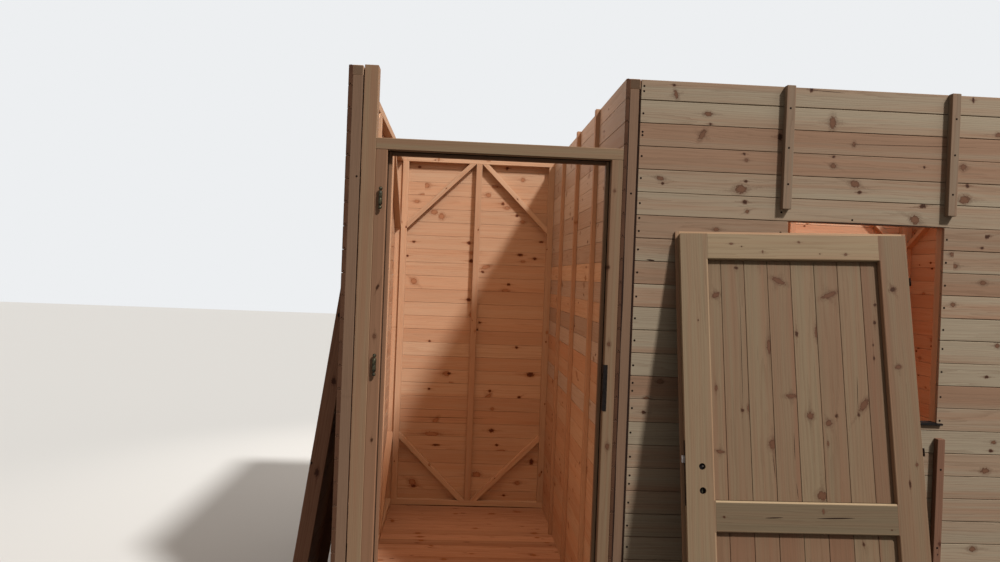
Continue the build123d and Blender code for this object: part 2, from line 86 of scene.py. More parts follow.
def woodMaterial(name, look):
    # Pine, sawn then planed. Growth rings are shells round a pith that lies off the board, so a face
    # shows streaks and arches; rings part round each knot as water parts round a post.
    material, tree, shader = emptyMaterial(name)
    grain, tone, *knots = (addNode(tree, "Attribute", output="Vector", attribute_name=attribute)
                           for attribute in ("grain", "tone", "liveKnot", "deadKnot"))
    toneParts = addNode(tree, "SeparateXYZ", [tone]).node.outputs

    # Distance from each sort of knot in its radii, round and drawn out, and how far the rings are pushed off
    push, knotFields = 0.0, []
    for offset in knots:
        parts = addNode(tree, "SeparateXYZ", [offset]).node.outputs
        wobble = addNode(tree, "TexNoise",
                         {"Vector": grain, "Scale": 120.0, "Detail": 4.0, "Roughness": 0.65})
        uneven = addNode(tree, "Math", [wobble, 1.9, -0.95], operation="MULTIPLY_ADD")
        radii = []
        for shape in ((1.0, 1.0, 0.0), (0.2, 1.5, 0.0)):
            flat = addNode(tree, "VectorMath", [offset, shape], operation="MULTIPLY")
            length = addNode(tree, "VectorMath", [flat], operation="LENGTH")
            radii.append(addNode(tree, "Math", [length, parts[2]], operation="DIVIDE"))
        knotFields.append([addNode(tree, "Math", [distance, uneven], operation="ADD") for distance in radii])
        atLeastOne = addNode(tree, "Math", [radii[0], 1.0], operation="MAXIMUM")
        fall = addNode(tree, "Math", [atLeastOne, -2.6], operation="POWER")
        push = addNode(tree, "Math", [parts[1], fall, push], operation="MULTIPLY_ADD")

    # Ring shells: slow wander along the board, then distance from the pith
    sway = look["wander"]
    slow = addNode(tree, "VectorMath", [grain, (0.9, 5.0, 5.0)], operation="MULTIPLY")
    wander = addNode(tree, "TexNoise", {"Vector": slow, "Scale": 1.0, "Detail": 3.0, "Roughness": 0.45},
                     "Color")
    wander = addNode(tree, "VectorMath", [wander, (0.0, sway, sway), (0.0, -sway / 2, -sway / 2)],
                     operation="MULTIPLY_ADD")
    aside = addNode(tree, "CombineXYZ", {1: push})
    bent = addNode(tree, "VectorMath", [grain, wander], operation="ADD")
    bent = addNode(tree, "VectorMath", [bent, aside], operation="SUBTRACT")
    shell = addNode(tree, "VectorMath", [bent, (0.0, 1.0, 1.0)], operation="MULTIPLY")
    shell = addNode(tree, "VectorMath", [shell], operation="LENGTH")

    # Streaks as wide as a finger make the rings uneven; fibres are as fine as the view can show
    streakAt = addNode(tree, "VectorMath", [bent, (1.1, 46.0, 46.0)], operation="MULTIPLY")
    streak = addNode(tree, "TexNoise", {"Vector": streakAt, "Scale": 1.0, "Detail": 4.0, "Roughness": 0.6})
    rings = addNode(tree, "Math", [shell, 1.0 / look["ring"]], operation="MULTIPLY")
    rings = addNode(tree, "Math", [streak, 3.5, rings], operation="MULTIPLY_ADD")
    rings = addNode(tree, "Math", [rings], operation="FRACT")
    late = addNode(tree, "Math", [rings, 3.0], operation="POWER")
    fibreAt = addNode(tree, "VectorMath", [bent, (9.0, 520.0, 520.0)], operation="MULTIPLY")
    fibre = addNode(tree, "TexNoise", {"Vector": fibreAt, "Scale": 1.0, "Detail": 3.0, "Roughness": 0.6})

    # Sapwood outside, heartwood near the pith; each board leans to one or the other
    hue = addNode(tree, "Math", [streak, 1.5, -0.75], operation="MULTIPLY_ADD")
    hue = addNode(tree, "Math", [hue, toneParts[0]], operation="ADD")
    heart = addNode(tree, "MapRange", [shell, look["heartEdge"] + 12 * mm, look["heartEdge"] - 12 * mm,
                                       -look["heart"], look["heart"]])
    hue = addNode(tree, "Math", [hue, heart], operation="ADD")
    hue = addNode(tree, "MapRange", [hue, -0.6, 0.6, 0.0, 1.0], interpolation_type="SMOOTHSTEP")
    base = addNode(tree, "Mix", {0: hue, 6: linear(look["sapwood"]), 7: linear(look["heartwood"])},
                   data_type="RGBA")
    lateShare = addNode(tree, "Math", [late, look["lateShare"]], operation="MULTIPLY")
    base = addNode(tree, "Mix", {0: lateShare, 6: base, 7: linear(look["latewood"])}, data_type="RGBA")

    # Lightness: board by board, streak by streak, fibre by fibre
    value = addNode(tree, "Math", [streak, look["streak"], 1.0 - look["streak"] / 2],
                    operation="MULTIPLY_ADD")
    value = addNode(tree, "Math", [fibre, look["fibre"], value], operation="MULTIPLY_ADD")
    value = addNode(tree, "Math", [value, look["fibre"] / 2], operation="SUBTRACT")
    value = addNode(tree, "Math", [value, toneParts[1]], operation="ADD")
    base = addNode(tree, "VectorMath", {0: base, "Scale": value}, operation="SCALE")

    # Live knots: reddish with their own rings; dead knots: nearly black, with a loose dark rim
    for (distance, drawn), sort, rim, halo, tail in ((knotFields[0], "liveKnot", "knotRim", 2.3, 0.25),
                                                     (knotFields[1], "deadKnot", "deadRim", 2.0, 0.4)):
        fromRim = addNode(tree, "Math", [distance, 0.88], operation="SUBTRACT")
        fromRim = addNode(tree, "Math", [fromRim], operation="ABSOLUTE")
        # Tail along the grain, halo, core and rim: the field, where it starts and is full, its most, its hue
        for field, start, full, most, colour in (
                (drawn, 1.2, 0.3, tail, rim), (distance, halo, 1.0, 0.34, rim),
                (distance, 1.15, 0.9, 1.0, sort), (fromRim, 0.26, 0.0, 0.75, rim)):
            share = addNode(tree, "MapRange", [field, start, full, 0.0, most],
                            interpolation_type="SMOOTHSTEP")
            base = addNode(tree, "Mix", {0: share, 6: base, 7: linear(look[colour])}, data_type="RGBA")

    tree.links.new(base, shader.inputs["Base Color"])
    rough = addNode(tree, "Math", [fibre, 0.2, look["rough"] - 0.1], operation="MULTIPLY_ADD")
    tree.links.new(rough, shader.inputs["Roughness"])
    relief = addNode(tree, "Math", [late, 0.5, fibre], operation="MULTIPLY_ADD")
    bump = addNode(tree, "Bump", {"Strength": look["relief"], "Distance": 0.6 * mm, "Height": relief})
    tree.links.new(bump, shader.inputs["Normal"])
    shader.inputs["Specular IOR Level"].default_value = 0.15
    return material


# What pine has unless its own look says otherwise: ring width, how far rings wander, heartwood's strength and
# edge, share of latewood, streaks, fibres, roughness and relief
plainPine = dict(ring=5.2 * mm, wander=34 * mm, heart=0.2, heartEdge=75 * mm, lateShare=0.36, streak=0.3,
                 fibre=0.2, rough=0.78, relief=0.5)
endGrain = dict(ring=4.5 * mm, wander=30 * mm, heartEdge=60 * mm, lateShare=0.5, fibre=0.3, rough=0.85,
                relief=0.6)
woodLooks = {
    # pressure-treated pine outdoors: khaki sapwood, pinker heartwood, raised grain
    "treatedPine": dict(sapwood="#998A74", heartwood="#8E6F58", latewood="#6B503C", liveKnot="#6A4A37",
                        deadKnot="#3C2519", knotRim="#4F3526", deadRim="#563727", heart=0.26),
    # the same boards' indoor side, kept from the weather: warm salmon
    "freshPine": dict(sapwood="#C09F82", heartwood="#B38869", latewood="#996848", liveKnot="#A06E4F",
                      deadKnot="#542C1C", knotRim="#7A4A2E", deadRim="#85502F", heart=0.1, streak=0.2,
                      fibre=0.16, rough=0.72, relief=0.4),
    # indoor boards above the door head, greyer than the rest
    "greyishPine": dict(sapwood="#B4A08E", heartwood="#A68B76", latewood="#866552", liveKnot="#8A6650",
                       deadKnot="#4C2A1E", knotRim="#6C4A38", deadRim="#74503C", heart=0.1, streak=0.24,
                       fibre=0.18, rough=0.75, relief=0.45),
    # planed smooth for the door frame and the leaf: greener and calmer
    "planedPine": dict(sapwood="#87745A", heartwood="#7E5C45", latewood="#644A34", liveKnot="#5E3E2B",
                       deadKnot="#38200F", knotRim="#482B1B", deadRim="#523422", ring=6.5 * mm,
                       wander=28 * mm, heartEdge=85 * mm, lateShare=0.34, streak=0.26, fibre=0.14,
                       rough=0.66, relief=0.3),
    # loose panel: stained reddish brown
    "stainedPine": dict(sapwood="#A3775E", heartwood="#92654E", latewood="#62412F", liveKnot="#4A2C20",
                        deadKnot="#2A1811", knotRim="#5F3A2A", deadRim="#482C20", lateShare=0.4, streak=0.24,
                        rough=0.74, relief=0.45),
    # floor boards walked on: scuffed, with broad reddish streaks
    "floorPine": dict(sapwood="#AE8468", heartwood="#97694D", latewood="#70422C", liveKnot="#8A5433",
                      deadKnot="#4A2415", knotRim="#7A4729", deadRim="#7A4428", ring=6.2 * mm, wander=50 * mm,
                      heart=0.3, heartEdge=60 * mm, lateShare=0.5, streak=0.5, fibre=0.3, rough=0.8),
    # board ends, where the timber has drunk up damp: dark red-brown
    "soakedEndGrain": dict(endGrain, sapwood="#60412E", heartwood="#4C3122", latewood="#321F15",
                           liveKnot="#3E281B", deadKnot="#21140E", knotRim="#462E20", deadRim="#33211A",
                           streak=0.5, fibre=0.35),
    # painted shade: the dark inside of a drying check or a gap, where no light gets in
    "checkShadow": dict(endGrain, sapwood="#2C1B13", heartwood="#25160F", latewood="#1A0F0A",
                        liveKnot="#1A0F0A", deadKnot="#140B07", knotRim="#1E120C", deadRim="#1A0F0A",
                        rough=0.9, relief=0.4),
    # end grain that has drunk rain: dark grey-brown
    "rainedEndGrain": dict(endGrain, sapwood="#705844", heartwood="#5D4634", latewood="#3E2E22",
                           liveKnot="#3E2A1E", deadKnot="#241812", knotRim="#4A3528", deadRim="#3A281E",
                           wander=20 * mm),
}
wood = {name: woodMaterial(name, {**plainPine, **look}) for name, look in woodLooks.items()}
fresh, treated, planed, stained = (wood[kind + "Pine"] for kind in ("fresh", "treated", "planed", "stained"))


def mottledMaterial(name, look):
    # A skin mottled in colour and gloss at the scale of fingertip wear
    material, tree, shader = emptyMaterial(name)
    place = addNode(tree, "TexCoord", output="Object")
    blotch = addNode(tree, "TexNoise", {"Vector": place, "Scale": look["blotch"], "Detail": 4.0})
    share = addNode(tree, "MapRange", [blotch, 0.35, 0.65])
    colour = addNode(tree, "Mix", {0: share, 6: linear(look["dark"]), 7: linear(look["light"])},
                     data_type="RGBA")
    tree.links.new(colour, shader.inputs["Base Color"])
    rough = addNode(tree, "MapRange", [blotch, 0.3, 0.7, look["rough"] - 0.08, look["rough"] + 0.08])
    tree.links.new(rough, shader.inputs["Roughness"])
    shader.inputs["Metallic"].default_value = look["metallic"]
    shader.inputs["Specular IOR Level"].default_value = look.get("specular", 0.5)
    return material


skins = {name: mottledMaterial(name, look) for name, look in {
    # yellow-passivated zinc, dulled to olive bronze
    "olivePassivatedSteel": dict(dark="#1D1A13", light="#4A4430", blotch=130.0, rough=0.4, metallic=0.75),
    # black paint on the strike plate, the sill strip and the lock's case
    "blackCoatedSteel": dict(dark="#0F0C0A", light="#1C1614", blotch=90.0, rough=0.55, metallic=0.0,
                             specular=0.08),
    # nickel-plated latch and follower, dulled by handling
    "platedSteel": dict(dark="#827A76", light="#A39A95", blotch=160.0, rough=0.5, metallic=0.15,
                        specular=0.2),
    # nail heads and the leaf's hinge sockets, gone dark in the damp
    "rustedNail": dict(dark="#110A07", light="#1F140F", blotch=300.0, rough=0.85, metallic=0.0,
                       specular=0.05),
    # weather seal in the door frame's rebate
    "sealRubber": dict(dark="#120C09", light="#1E1510", blotch=60.0, rough=0.75, metallic=0.0, specular=0.05),
}.items()}
print("materials made:", len(wood) + len(skins))


def chamferedProfile(width, thick, arris):
    # Rectangle with its four arrises taken off, as (across, depth) pairs, anticlockwise
    a = arris
    return np.array([(a, 0), (width - a, 0), (width, a), (width, thick - a),
                     (width - a, thick), (a, thick), (0, thick - a), (0, a)], float)


def trimmedProfile(corners, arris):
    # Any outline with each corner cut back by the arris along both of its sides
    corners = np.array(corners, float)
    before, after = np.roll(corners, 1, 0) - corners, np.roll(corners, -1, 0) - corners
    before /= np.linalg.norm(before, axis=1)[:, None]
    after /= np.linalg.norm(after, axis=1)[:, None]
    return np.stack([corners + before * arris, corners + after * arris], 1).reshape(-1, 2)


def roundedProfile(width, thick, radii, arris=1.0 * mm, steps=5):
    # Rectangle whose two front corners are quarter circles of the given radii, the back ones plain arrises
    turn = np.linspace(0, math.pi / 2, steps)
    right, left = radii
    front = [(width - right + right * np.cos(turn), thick - right + right * np.sin(turn)),
             (left - left * np.sin(turn), thick - left + left * np.cos(turn))]
    back = [(0, arris), (arris, 0), (width - arris, 0), (width, arris)]
    return np.concatenate([np.array(back), np.stack(front[0], 1), np.stack(front[1], 1)])


# Tongue and groove: how far each reaches, and a height past any tongue, at which nothing is cut
tongue = {"reach": 6 * mm, "groove": 7.5 * mm, "past": 7 * mm}


def tonguedProfile(height, thick, gap=1.0 * mm, arris=1.3 * mm):
    # Tongue on the upper edge, groove in the lower one, small chamfers where boards meet
    low, high = gap, height - gap
    tip, root = high + tongue["reach"], low + tongue["groove"]
    return np.array([
        (low + arris, 0), (high - arris, 0), (high, arris), (high, 0.38 * thick), (tip, 0.38 * thick),
        (tip, 0.62 * thick), (high, 0.62 * thick), (high, thick - arris), (high - arris, thick),
        (low + arris, thick), (low, thick - arris), (low, 0.66 * thick), (root, 0.66 * thick),
        (root, 0.34 * thick), (low, 0.34 * thick), (low, arris)], float)


# How knots lie in a board: where the first whorl and the next ones come, in mean spacings, and how they vary
whorls = {"first": (0.1, 0.9), "spacing": (0.45, 1.55), "fromEnd": 20 * mm, "scatter": 20 * mm,
          "across": (0.08, 0.92), "perWhorl": 1.1, "deadSize": 0.62, "stretch": (1.0, 1.9), "lean": (-15, 15),
          "spikes": 0.17, "spikeStretch": (0.3, 0.5), "spikeLean": (-40, 40)}


def randomKnots(length, width, perMetre, sizes, liveShare=0.5):
    # Whorls at uneven spacing, each with a live or a dead knot or both. A knot is its place along and across
    # the board, its radius, how much longer than wide it is, and its lean; some live ones are spikes across
    # the grain
    live, dead = [], []
    x = draws.uniform(*whorls["first"]) / perMetre
    while x < length - whorls["fromEnd"]:
        for knots, chance, scale in ((live, liveShare, 1.0),
                                     (dead, whorls["perWhorl"] - liveShare, whorls["deadSize"])):
            if draws.random() < chance:
                size = draws.uniform(*sizes) * scale
                spike = knots is live and draws.random() < whorls["spikes"]
                stretch = draws.uniform(*whorls["spikeStretch" if spike else "stretch"])
                lean = draws.uniform(*whorls["spikeLean" if spike else "lean"])
                along = x + draws.normal(0, whorls["scatter"])
                knots.append((along, draws.uniform(*whorls["across"]) * width, size, stretch, lean))
        x += draws.uniform(*whorls["spacing"]) / perMetre
    return live, dead


def drawnPith():
    # Where the tree's heart lies, across the bar and in its depth: always behind the face
    return draws.uniform(-30 * mm, 120 * mm), draws.uniform(-100 * mm, -30 * mm)


def drawnTone(hueSpread, lightnessSpread):
    return draws.normal(0, hueSpread), draws.normal(0, lightnessSpread)


def barMesh(bar):
    # Point (i, j) = origin + x along + y across + z depth. (y, z) runs round the profile at step j; x runs
    # from the start cut to the end cut at step i, and either cut may slant with y; the edges wander by a
    # slow sine of x, and the last section at each end is drawn in by the arris.
    profile, length, arris = bar["profile"], bar["length"], bar.get("arris", 1.2 * mm)
    centre = (profile.min(0) + profile.max(0)) / 2
    half = (profile.max(0) - profile.min(0)) / 2
    knots = [sorted(bar.get("live") or []), sorted(bar.get("dead") or [])]
    bounds = [np.array([(a[0] + b[0]) / 2 for a, b in zip(k, k[1:])]) for k in knots]
    steps = np.linspace(0, length, 2 + int(length / bar.get("pitch", 0.3)))
    steps = np.concatenate([steps[1:-1], *bounds, bar.get("steps", []), [arris, length - arris]])
    steps = np.unique(np.round(np.clip(steps, arris, length - arris), 5))
    steps = np.concatenate([[0.0], steps, [length]])
    waver = bar.get("waver", 0.3 * mm)
    phase = draws.uniform(0, 2 * math.pi, 3)
    sway = waver * np.sin(steps[:, None] * np.array([3.1, 2.3, 5.9]) + phase)
    scale = np.ones((len(steps), 2))
    scale[[0, -1]] = 1 - arris / half
    outline = bar["profileAt"](steps) if "profileAt" in bar else profile[None]
    narrower = np.abs(sway[:, 2:3]) / half[0]
    y = centre[0] + (outline[..., 0] - centre[0]) * (scale[:, 0:1] - narrower) + sway[:, 0:1]
    z = centre[1] + (outline[..., 1] - centre[1]) * scale[:, 1:2] + np.minimum(sway[:, 1:2], 0)
    if "tops" in bar:   # boards cut down over part of their length
        y = np.minimum(y, np.interp(steps, *bar["tops"])[:, None])
    startCut, endCut = bar.get("cuts", (0.0, 0.0))
    share = steps[:, None] / length
    x = steps[:, None] + startCut * (y - centre[0]) * (1 - share) + endCut * (y - centre[0]) * share
    axes = np.array(bar["axes"], float)
    local = np.stack([x, y, z], -1)
    points = np.array(bar["origin"], float) + local @ axes

    rows, cols = y.shape
    i, j = np.meshgrid(np.arange(rows - 1), np.arange(cols), indexing="ij")
    k = (j + 1) % cols
    quads = np.stack([i * cols + j, i * cols + k, (i + 1) * cols + k, (i + 1) * cols + j], -1).reshape(-1, 4)
    caps = np.stack([np.arange(cols)[::-1], (rows - 1) * cols + np.arange(cols)])
    corners = np.concatenate([quads.ravel(), caps.ravel()])
    segment = np.concatenate([np.repeat(i.ravel(), 4), np.zeros(cols, int), np.full(cols, rows - 2)])
    middle = (steps[segment] + steps[segment + 1]) / 2
    fields = woodFields(local.reshape(-1, 3)[corners], middle, bar)
    faceSides = np.broadcast_to(np.array(bar.get("sides", 0), int), cols)[j.ravel()]
    capSides = np.array(bar.get("capSides", (0, 0)))
    quadTones = fields["tone"][:quads.size].reshape(-1, 4, 3)
    # painted light or shade on each side of the profile: lighter where it catches light, darker where it lies
    # in shade
    quadTones[:, :, 1] += np.broadcast_to(bar.get("paleSides", 0.0), cols)[j.ravel(), None]
    if "capTone" in bar:   # sawn ends and the arrises round them
        ends = (i.ravel() == 0) | (i.ravel() == rows - 2)
        faceSides = np.where(ends, capSides[(i.ravel() > 0).astype(int)], faceSides)
        quadTones[ends, :, :2] = bar["capTone"]
        fields["tone"][quads.size:, :2] = bar["capTone"]
    return {"points": points.reshape(-1, 3), "faces": quads.tolist() + caps.tolist(), "fields": fields,
            "materials": np.concatenate([faceSides, capSides])}


def woodFields(at, middle, bar):
    # Where each face corner lies in the timber: from the pith, and from the knot of each sort that rules its
    # stretch of the bar, turned by the knot's lean and squeezed so that the knot is a circle there
    pith = bar.get("pith") or drawnPith()
    fields = {"grain": at + np.array([draws.uniform(0, 40), -pith[0], -pith[1]])}
    for name, found in (("liveKnot", bar.get("live")), ("deadKnot", bar.get("dead"))):
        table = np.array(sorted((*knot, 1.2, 0.0)[:5] for knot in found or [noKnot]), float)
        edges = (table[1:, 0] + table[:-1, 0]) / 2
        x, y, radius, stretch, lean = table[np.searchsorted(edges, middle)].T
        lean = np.radians(lean)
        dx, dy = at[:, 0] - x, at[:, 1] - y
        long = (dx * np.cos(lean) + dy * np.sin(lean)) / np.sqrt(stretch)
        wide = (dy * np.cos(lean) - dx * np.sin(lean)) * np.sqrt(stretch)
        fields[name] = np.stack([long, wide, radius], -1)
    tone = bar.get("tone") or drawnTone(0.22, 0.05)
    fields["tone"] = np.tile([tone[0], tone[1], draws.random()], (len(at), 1))
    return fields


def placePiece(mesh, nodes):
    # At the origin, riding on the house
    piece = bpy.data.objects.new(mesh.name, mesh)
    scene.collection.objects.link(piece)
    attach(piece, "root")
    if nodes:
        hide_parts(*nodes)


def joinShapes(shapes):
    # The points and the faces of several shapes as one
    points, faces, offset = [], [], 0
    for spots, polygons in shapes:
        points.append(np.asarray(spots))
        faces += [[corner + offset for corner in polygon] for polygon in polygons]
        offset += len(spots)
    return np.concatenate(points), faces


def woodPiece(name, bars, materials, nodes):
    # All bars of one piece in one mesh, with the fields that the wood materials read
    parts = [bar if "faces" in bar else barMesh(bar) for bar in bars]
    points, faces = joinShapes([(part["points"], part["faces"]) for part in parts])
    mesh = bpy.data.meshes.new(name)
    mesh.from_pydata(points.tolist(), [], faces)
    materialIndex = np.concatenate([part["materials"] for part in parts])
    mesh.polygons.foreach_set("material_index", materialIndex.astype(np.int32))
    for key in ("grain", "liveKnot", "deadKnot", "tone"):
        layer = mesh.attributes.new(key, "FLOAT_VECTOR", "CORNER")
        field = np.concatenate([part["fields"][key] for part in parts])
        layer.data.foreach_set("vector", field.astype(np.float32).ravel())
    for material in materials:
        mesh.materials.append(material)
    mesh.validate()
    placePiece(mesh, nodes)


def plainPiece(name, shapes, material, nodes, rounded=False):
    # Shapes of one plain material; where they are rounded, all but their end caps are shaded smooth
    points, faces = joinShapes(shapes)
    mesh = bpy.data.meshes.new(name)
    mesh.from_pydata(points, [], faces)
    mesh.materials.append(material)
    mesh.polygons.foreach_set("use_smooth", [rounded and len(face) < 6 for face in faces])
    placePiece(mesh, nodes)


def boxOf(node):
    return [np.array(corner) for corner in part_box(node)]


def looseSolids(node):
    # The corner points of each separate solid of a CAD node, as arrays
    work = bmesh.new()
    work.from_mesh(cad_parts[node].data)
    bmesh.ops.remove_doubles(work, verts=work.verts, dist=0.02 * mm)
    seen, solids = set(), []
    for vert in work.verts:
        if vert in seen:
            continue
        group, queue = [], [vert]
        seen.add(vert)
        while queue:
            here = queue.pop()
            group.append(tuple(here.co))
            for edge in here.link_edges:
                other = edge.other_vert(here)
                if other not in seen:
                    seen.add(other)
                    queue.append(other)
        solids.append(np.array(group))
    work.free()
    return sorted(solids, key=lambda solid: tuple(np.round(solid.min(0), 4)))


def turnedAxes(solid, across, up):
    # Directions of a turned box: the three spreads of its corners, signed towards the given ways
    middle = solid.mean(0)
    ways = np.linalg.svd(solid - middle, full_matrices=False)[2]
    first = ways[np.argmax(np.abs(ways @ across))]
    second = ways[np.argmax(np.abs(ways @ up))]
    first, second = first * np.sign(first @ across), second * np.sign(second @ up)
    return np.array([first, second, np.cross(first, second)])


def reach(solids, axes):
    # Lowest and highest coordinate along each of the axes
    spots = np.concatenate(solids) @ axes.T
    return spots.min(0), spots.max(0)


def boxBar(solid, arris=1.2 * mm, ways=np.eye(3), **extra):
    # A bar that fills a box whose sides lie along the given ways: along its longest side, depth along its
    # shortest
    low, high = reach([solid], ways)
    size = high - low
    order = np.argsort(-size, kind="stable")
    axes = ways[order]
    start = low.copy()
    if np.linalg.det(axes) < 0:
        axes[2] *= -1
        start[order[2]] = high[order[2]]
    return dict(origin=start @ ways, axes=axes, length=size[order[0]], arris=arris,
                profile=chamferedProfile(size[order[1]], size[order[2]], arris), **extra)


def braceBar(solid, normal, arris=1.2 * mm, **extra):
    # A brace in a wall's plane: its direction is its longest edge's, and each end's slant is the slope of
    # that end's two corners
    plane = [axis for axis in range(3) if axis != normal]
    flat = np.unique(np.round(solid[:, plane], 5), axis=0)
    centre = flat.mean(0)
    turn = np.arctan2(*(flat - centre).T[::-1])
    ring = flat[np.argsort(turn)]
    edges = np.roll(ring, -1, 0) - ring
    first = int(np.argmax(np.linalg.norm(edges, axis=1)))
    ring = np.roll(ring, -first, 0)
    way = (ring[1] - ring[0]) / np.linalg.norm(ring[1] - ring[0])
    along, depth = np.zeros(3), np.zeros(3)
    along[plane] = way
    depth[normal] = 1.0
    across = np.cross(depth, along)
    if across[plane] @ (ring[2] - ring[1]) < 0:
        depth[normal] = -1.0
        across = np.cross(depth, along)
    local = np.array([[(p - ring[0]) @ way, (p - ring[0]) @ across[plane]] for p in ring])
    width = local[2, 1]
    startCut = (local[3, 0] - local[0, 0]) / width
    endCut = (local[2, 0] - local[1, 0]) / width
    origin = np.zeros(3)
    origin[plane] = ring[0]
    thick = np.ptp(solid[:, normal])
    origin[normal] = solid[:, normal].min() if depth[normal] > 0 else solid[:, normal].max()
    # cuts pivot on the bar's middle line, so the origin and length are taken there
    origin = origin + along * startCut * width / 2
    length = local[1, 0] + (endCut - startCut) * width / 2
    return dict(origin=origin, axes=np.array([along, across, depth]), length=length, arris=arris,
                cuts=(startCut, endCut), profile=chamferedProfile(width, thick, arris), **extra)


cladding = {"pitch": 90 * mm, "topBoard": 80 * mm, "lowestJoint": 60 * mm, "knotsPerMetre": 1.9,
            "knotSizes": (6 * mm, 15 * mm), "gapSpread": (0.5, 1.7), "toneSpread": (0.24, 0.045),
            "backShare": 0.3, "endTone": (0.2, -0.05), "holeTone": (1.0, 0.45)}


def boardJoints(height):
    # Heights of the joints, from the top edge down to the foot
    joints = [height]
    while joints[-1] > cladding["pitch"] + cladding["lowestJoint"]:
        joints.append(joints[-1] - (cladding["topBoard"] if len(joints) == 1 else cladding["pitch"]))
    return joints + [0.0]


def claddingBars(node, normal, outward, gap, arris=1.3 * mm, opening=None, tones=(), seen=((), ()),
                 clear=lambda x, z: False):
    # Level boards from the top down, face to the weather; a board that meets the opening is split or notched.
    # The knots in seen are (x, z, radius mm, stretch, lean) in the house's own directions, live ones and dead
    # ones; where clear says so, no others are drawn
    low, high = boxOf(node)
    depth = np.eye(3)[normal] * outward
    along = np.cross(unitZ, depth)
    origin = np.where(along + depth + unitZ > 0, low, high)
    length = abs((high - low) @ along)
    thick = abs((high - low) @ depth)
    joints = boardJoints(high[2] - low[2])
    sense = along.sum()
    bars = []
    for row, (top, foot) in enumerate(zip(joints, joints[1:])):
        rise = top - foot
        profile = tonguedProfile(rise, thick, gap * draws.uniform(*cladding["gapSpread"]), arris)
        middles = (profile + np.roll(profile, -1, 0)) / 2
        sides = (middles[:, 1] < cladding["backShare"] * thick).astype(int)
        tone = drawnTone(*cladding["toneSpread"])
        if row < len(tones):
            tone = tones[row]
        knots = randomKnots(length, rise, cladding["knotsPerMetre"], cladding["knotSizes"])
        knots = [[knot for knot in sort if not clear((origin + along * knot[0])[1 - normal], low[2] + foot)]
                 for sort in knots]
        for sort, placed in zip(knots, seen):
            sort += [((x - origin[1 - normal]) * sense, z - low[2] - foot, radius * mm, stretch, lean * sense)
                     for x, z, radius, stretch, lean in placed if foot <= z - low[2] < top]
        live, dead = knots
        pith = drawnPith()
        edge = rise + tongue["past"]
        spans, tops = [(0.0, length)], ([0, length], [edge, edge])
        if row == 0:
            tops = ([0, length], [rise, rise])
        if opening:
            left, right, sill, lintel = opening
            if foot >= sill - 1e-6 and top <= lintel + 1e-6:
                spans = [(0.0, left), (right, length)]
            elif top > sill > foot:
                cut, step = sill - foot, 0.1 * mm
                tops = ([0, left - step, left, right, right + step, length],
                        [edge, edge, cut, cut, edge, edge])
        for start, end in spans:
            bars.append(dict(
                origin=origin + unitZ * foot + along * start, axes=np.array([along, unitZ, depth]),
                length=end - start, profile=profile, sides=sides, tone=tone, pith=pith, pitch=0.25,
                waver=gap / 3, tops=(np.array(tops[0]) - start, tops[1]),
                steps=[step - start for step in tops[0] if start < step < end],
                live=[(knot[0] - start, *knot[1:]) for knot in live if start < knot[0] < end],
                dead=[(knot[0] - start, *knot[1:]) for knot in dead if start < knot[0] < end]))
            if normal == 0:
                bars[-1]["capTone"], bars[-1]["capSides"] = cladding["endTone"], (2, 2)
            elif len(spans) > 1:   # the hole's own edges
                bars[-1]["capTone"], bars[-1]["capSides"] = cladding["holeTone"], (0, 0)
    return bars


# The larger knots of the front panel, where the photo shows them: (x, z, radius mm, stretch, lean)
frontKnots = (   # live knots, then dead ones
    [(-0.52, 2.472, 11, 0.4, 18), (-0.39, 2.402, 11, 1.6, 0), (0.11, 2.392, 17, 0.5, 0),
     (0.79, 2.375, 10, 1.5, 0), (-0.41, 2.319, 14, 0.4, -30), (0.20, 2.310, 8, 0.7, 0),
     (-0.23, 2.228, 7, 1.2, 0), (0.12, 2.221, 10, 1.1, -20), (0.65, 2.239, 12, 1.0, 0),
     (-0.57, 2.142, 11, 1.9, -10), (-0.25, 2.112, 18, 1.4, 8), (0.21, 2.153, 15, 1.5, -15),
     (0.66, 2.110, 18, 1.2, 0), (-0.22, 2.026, 7, 1.1, 25), (0.46, 2.021, 17, 1.1, -25),
     (-0.34, 1.950, 9, 1.7, 0), (0.62, 1.890, 10, 1.5, 0), (0.63, 1.845, 11, 1.4, 0),
     (0.75, 1.781, 11, 1.6, 0), (0.63, 1.690, 9, 1.2, 0), (0.82, 1.532, 9, 1.2, 0), (0.82, 1.145, 8, 1.3, 0),
     (0.79, 1.030, 13, 1.6, 0), (0.75, 0.716, 12, 1.4, 0), (-0.59, 1.276, 10, 1.5, 0),
     (-0.54, 1.346, 10, 1.5, 0)],
    [(-0.53, 2.508, 5, 1.2, 0), (0.02, 2.518, 8, 0.7, 0), (0.68, 2.509, 7, 0.4, 0), (-0.38, 2.363, 5, 1.5, 0),
     (-0.10, 2.325, 10, 0.7, 0), (-0.24, 2.252, 5, 1.2, 0), (0.12, 2.257, 5, 1.2, 0),
     (0.49, 2.233, 5, 0.9, 0), (-0.56, 2.122, 5, 1.2, 0), (-0.23, 2.145, 6, 1.2, 0),
     (0.23, 2.121, 7, 1.3, 0), (0.67, 2.166, 7, 1.0, 0), (-0.23, 2.063, 8, 1.3, 0),
     (0.49, 2.077, 10, 1.8, 8), (0.76, 1.966, 9, 1.6, 15), (0.74, 1.921, 6, 1.3, 0),
     (0.78, 1.406, 7, 1.5, 0), (0.81, 1.111, 7, 1.3, 0), (-0.60, 1.223, 7, 1.3, 0)])
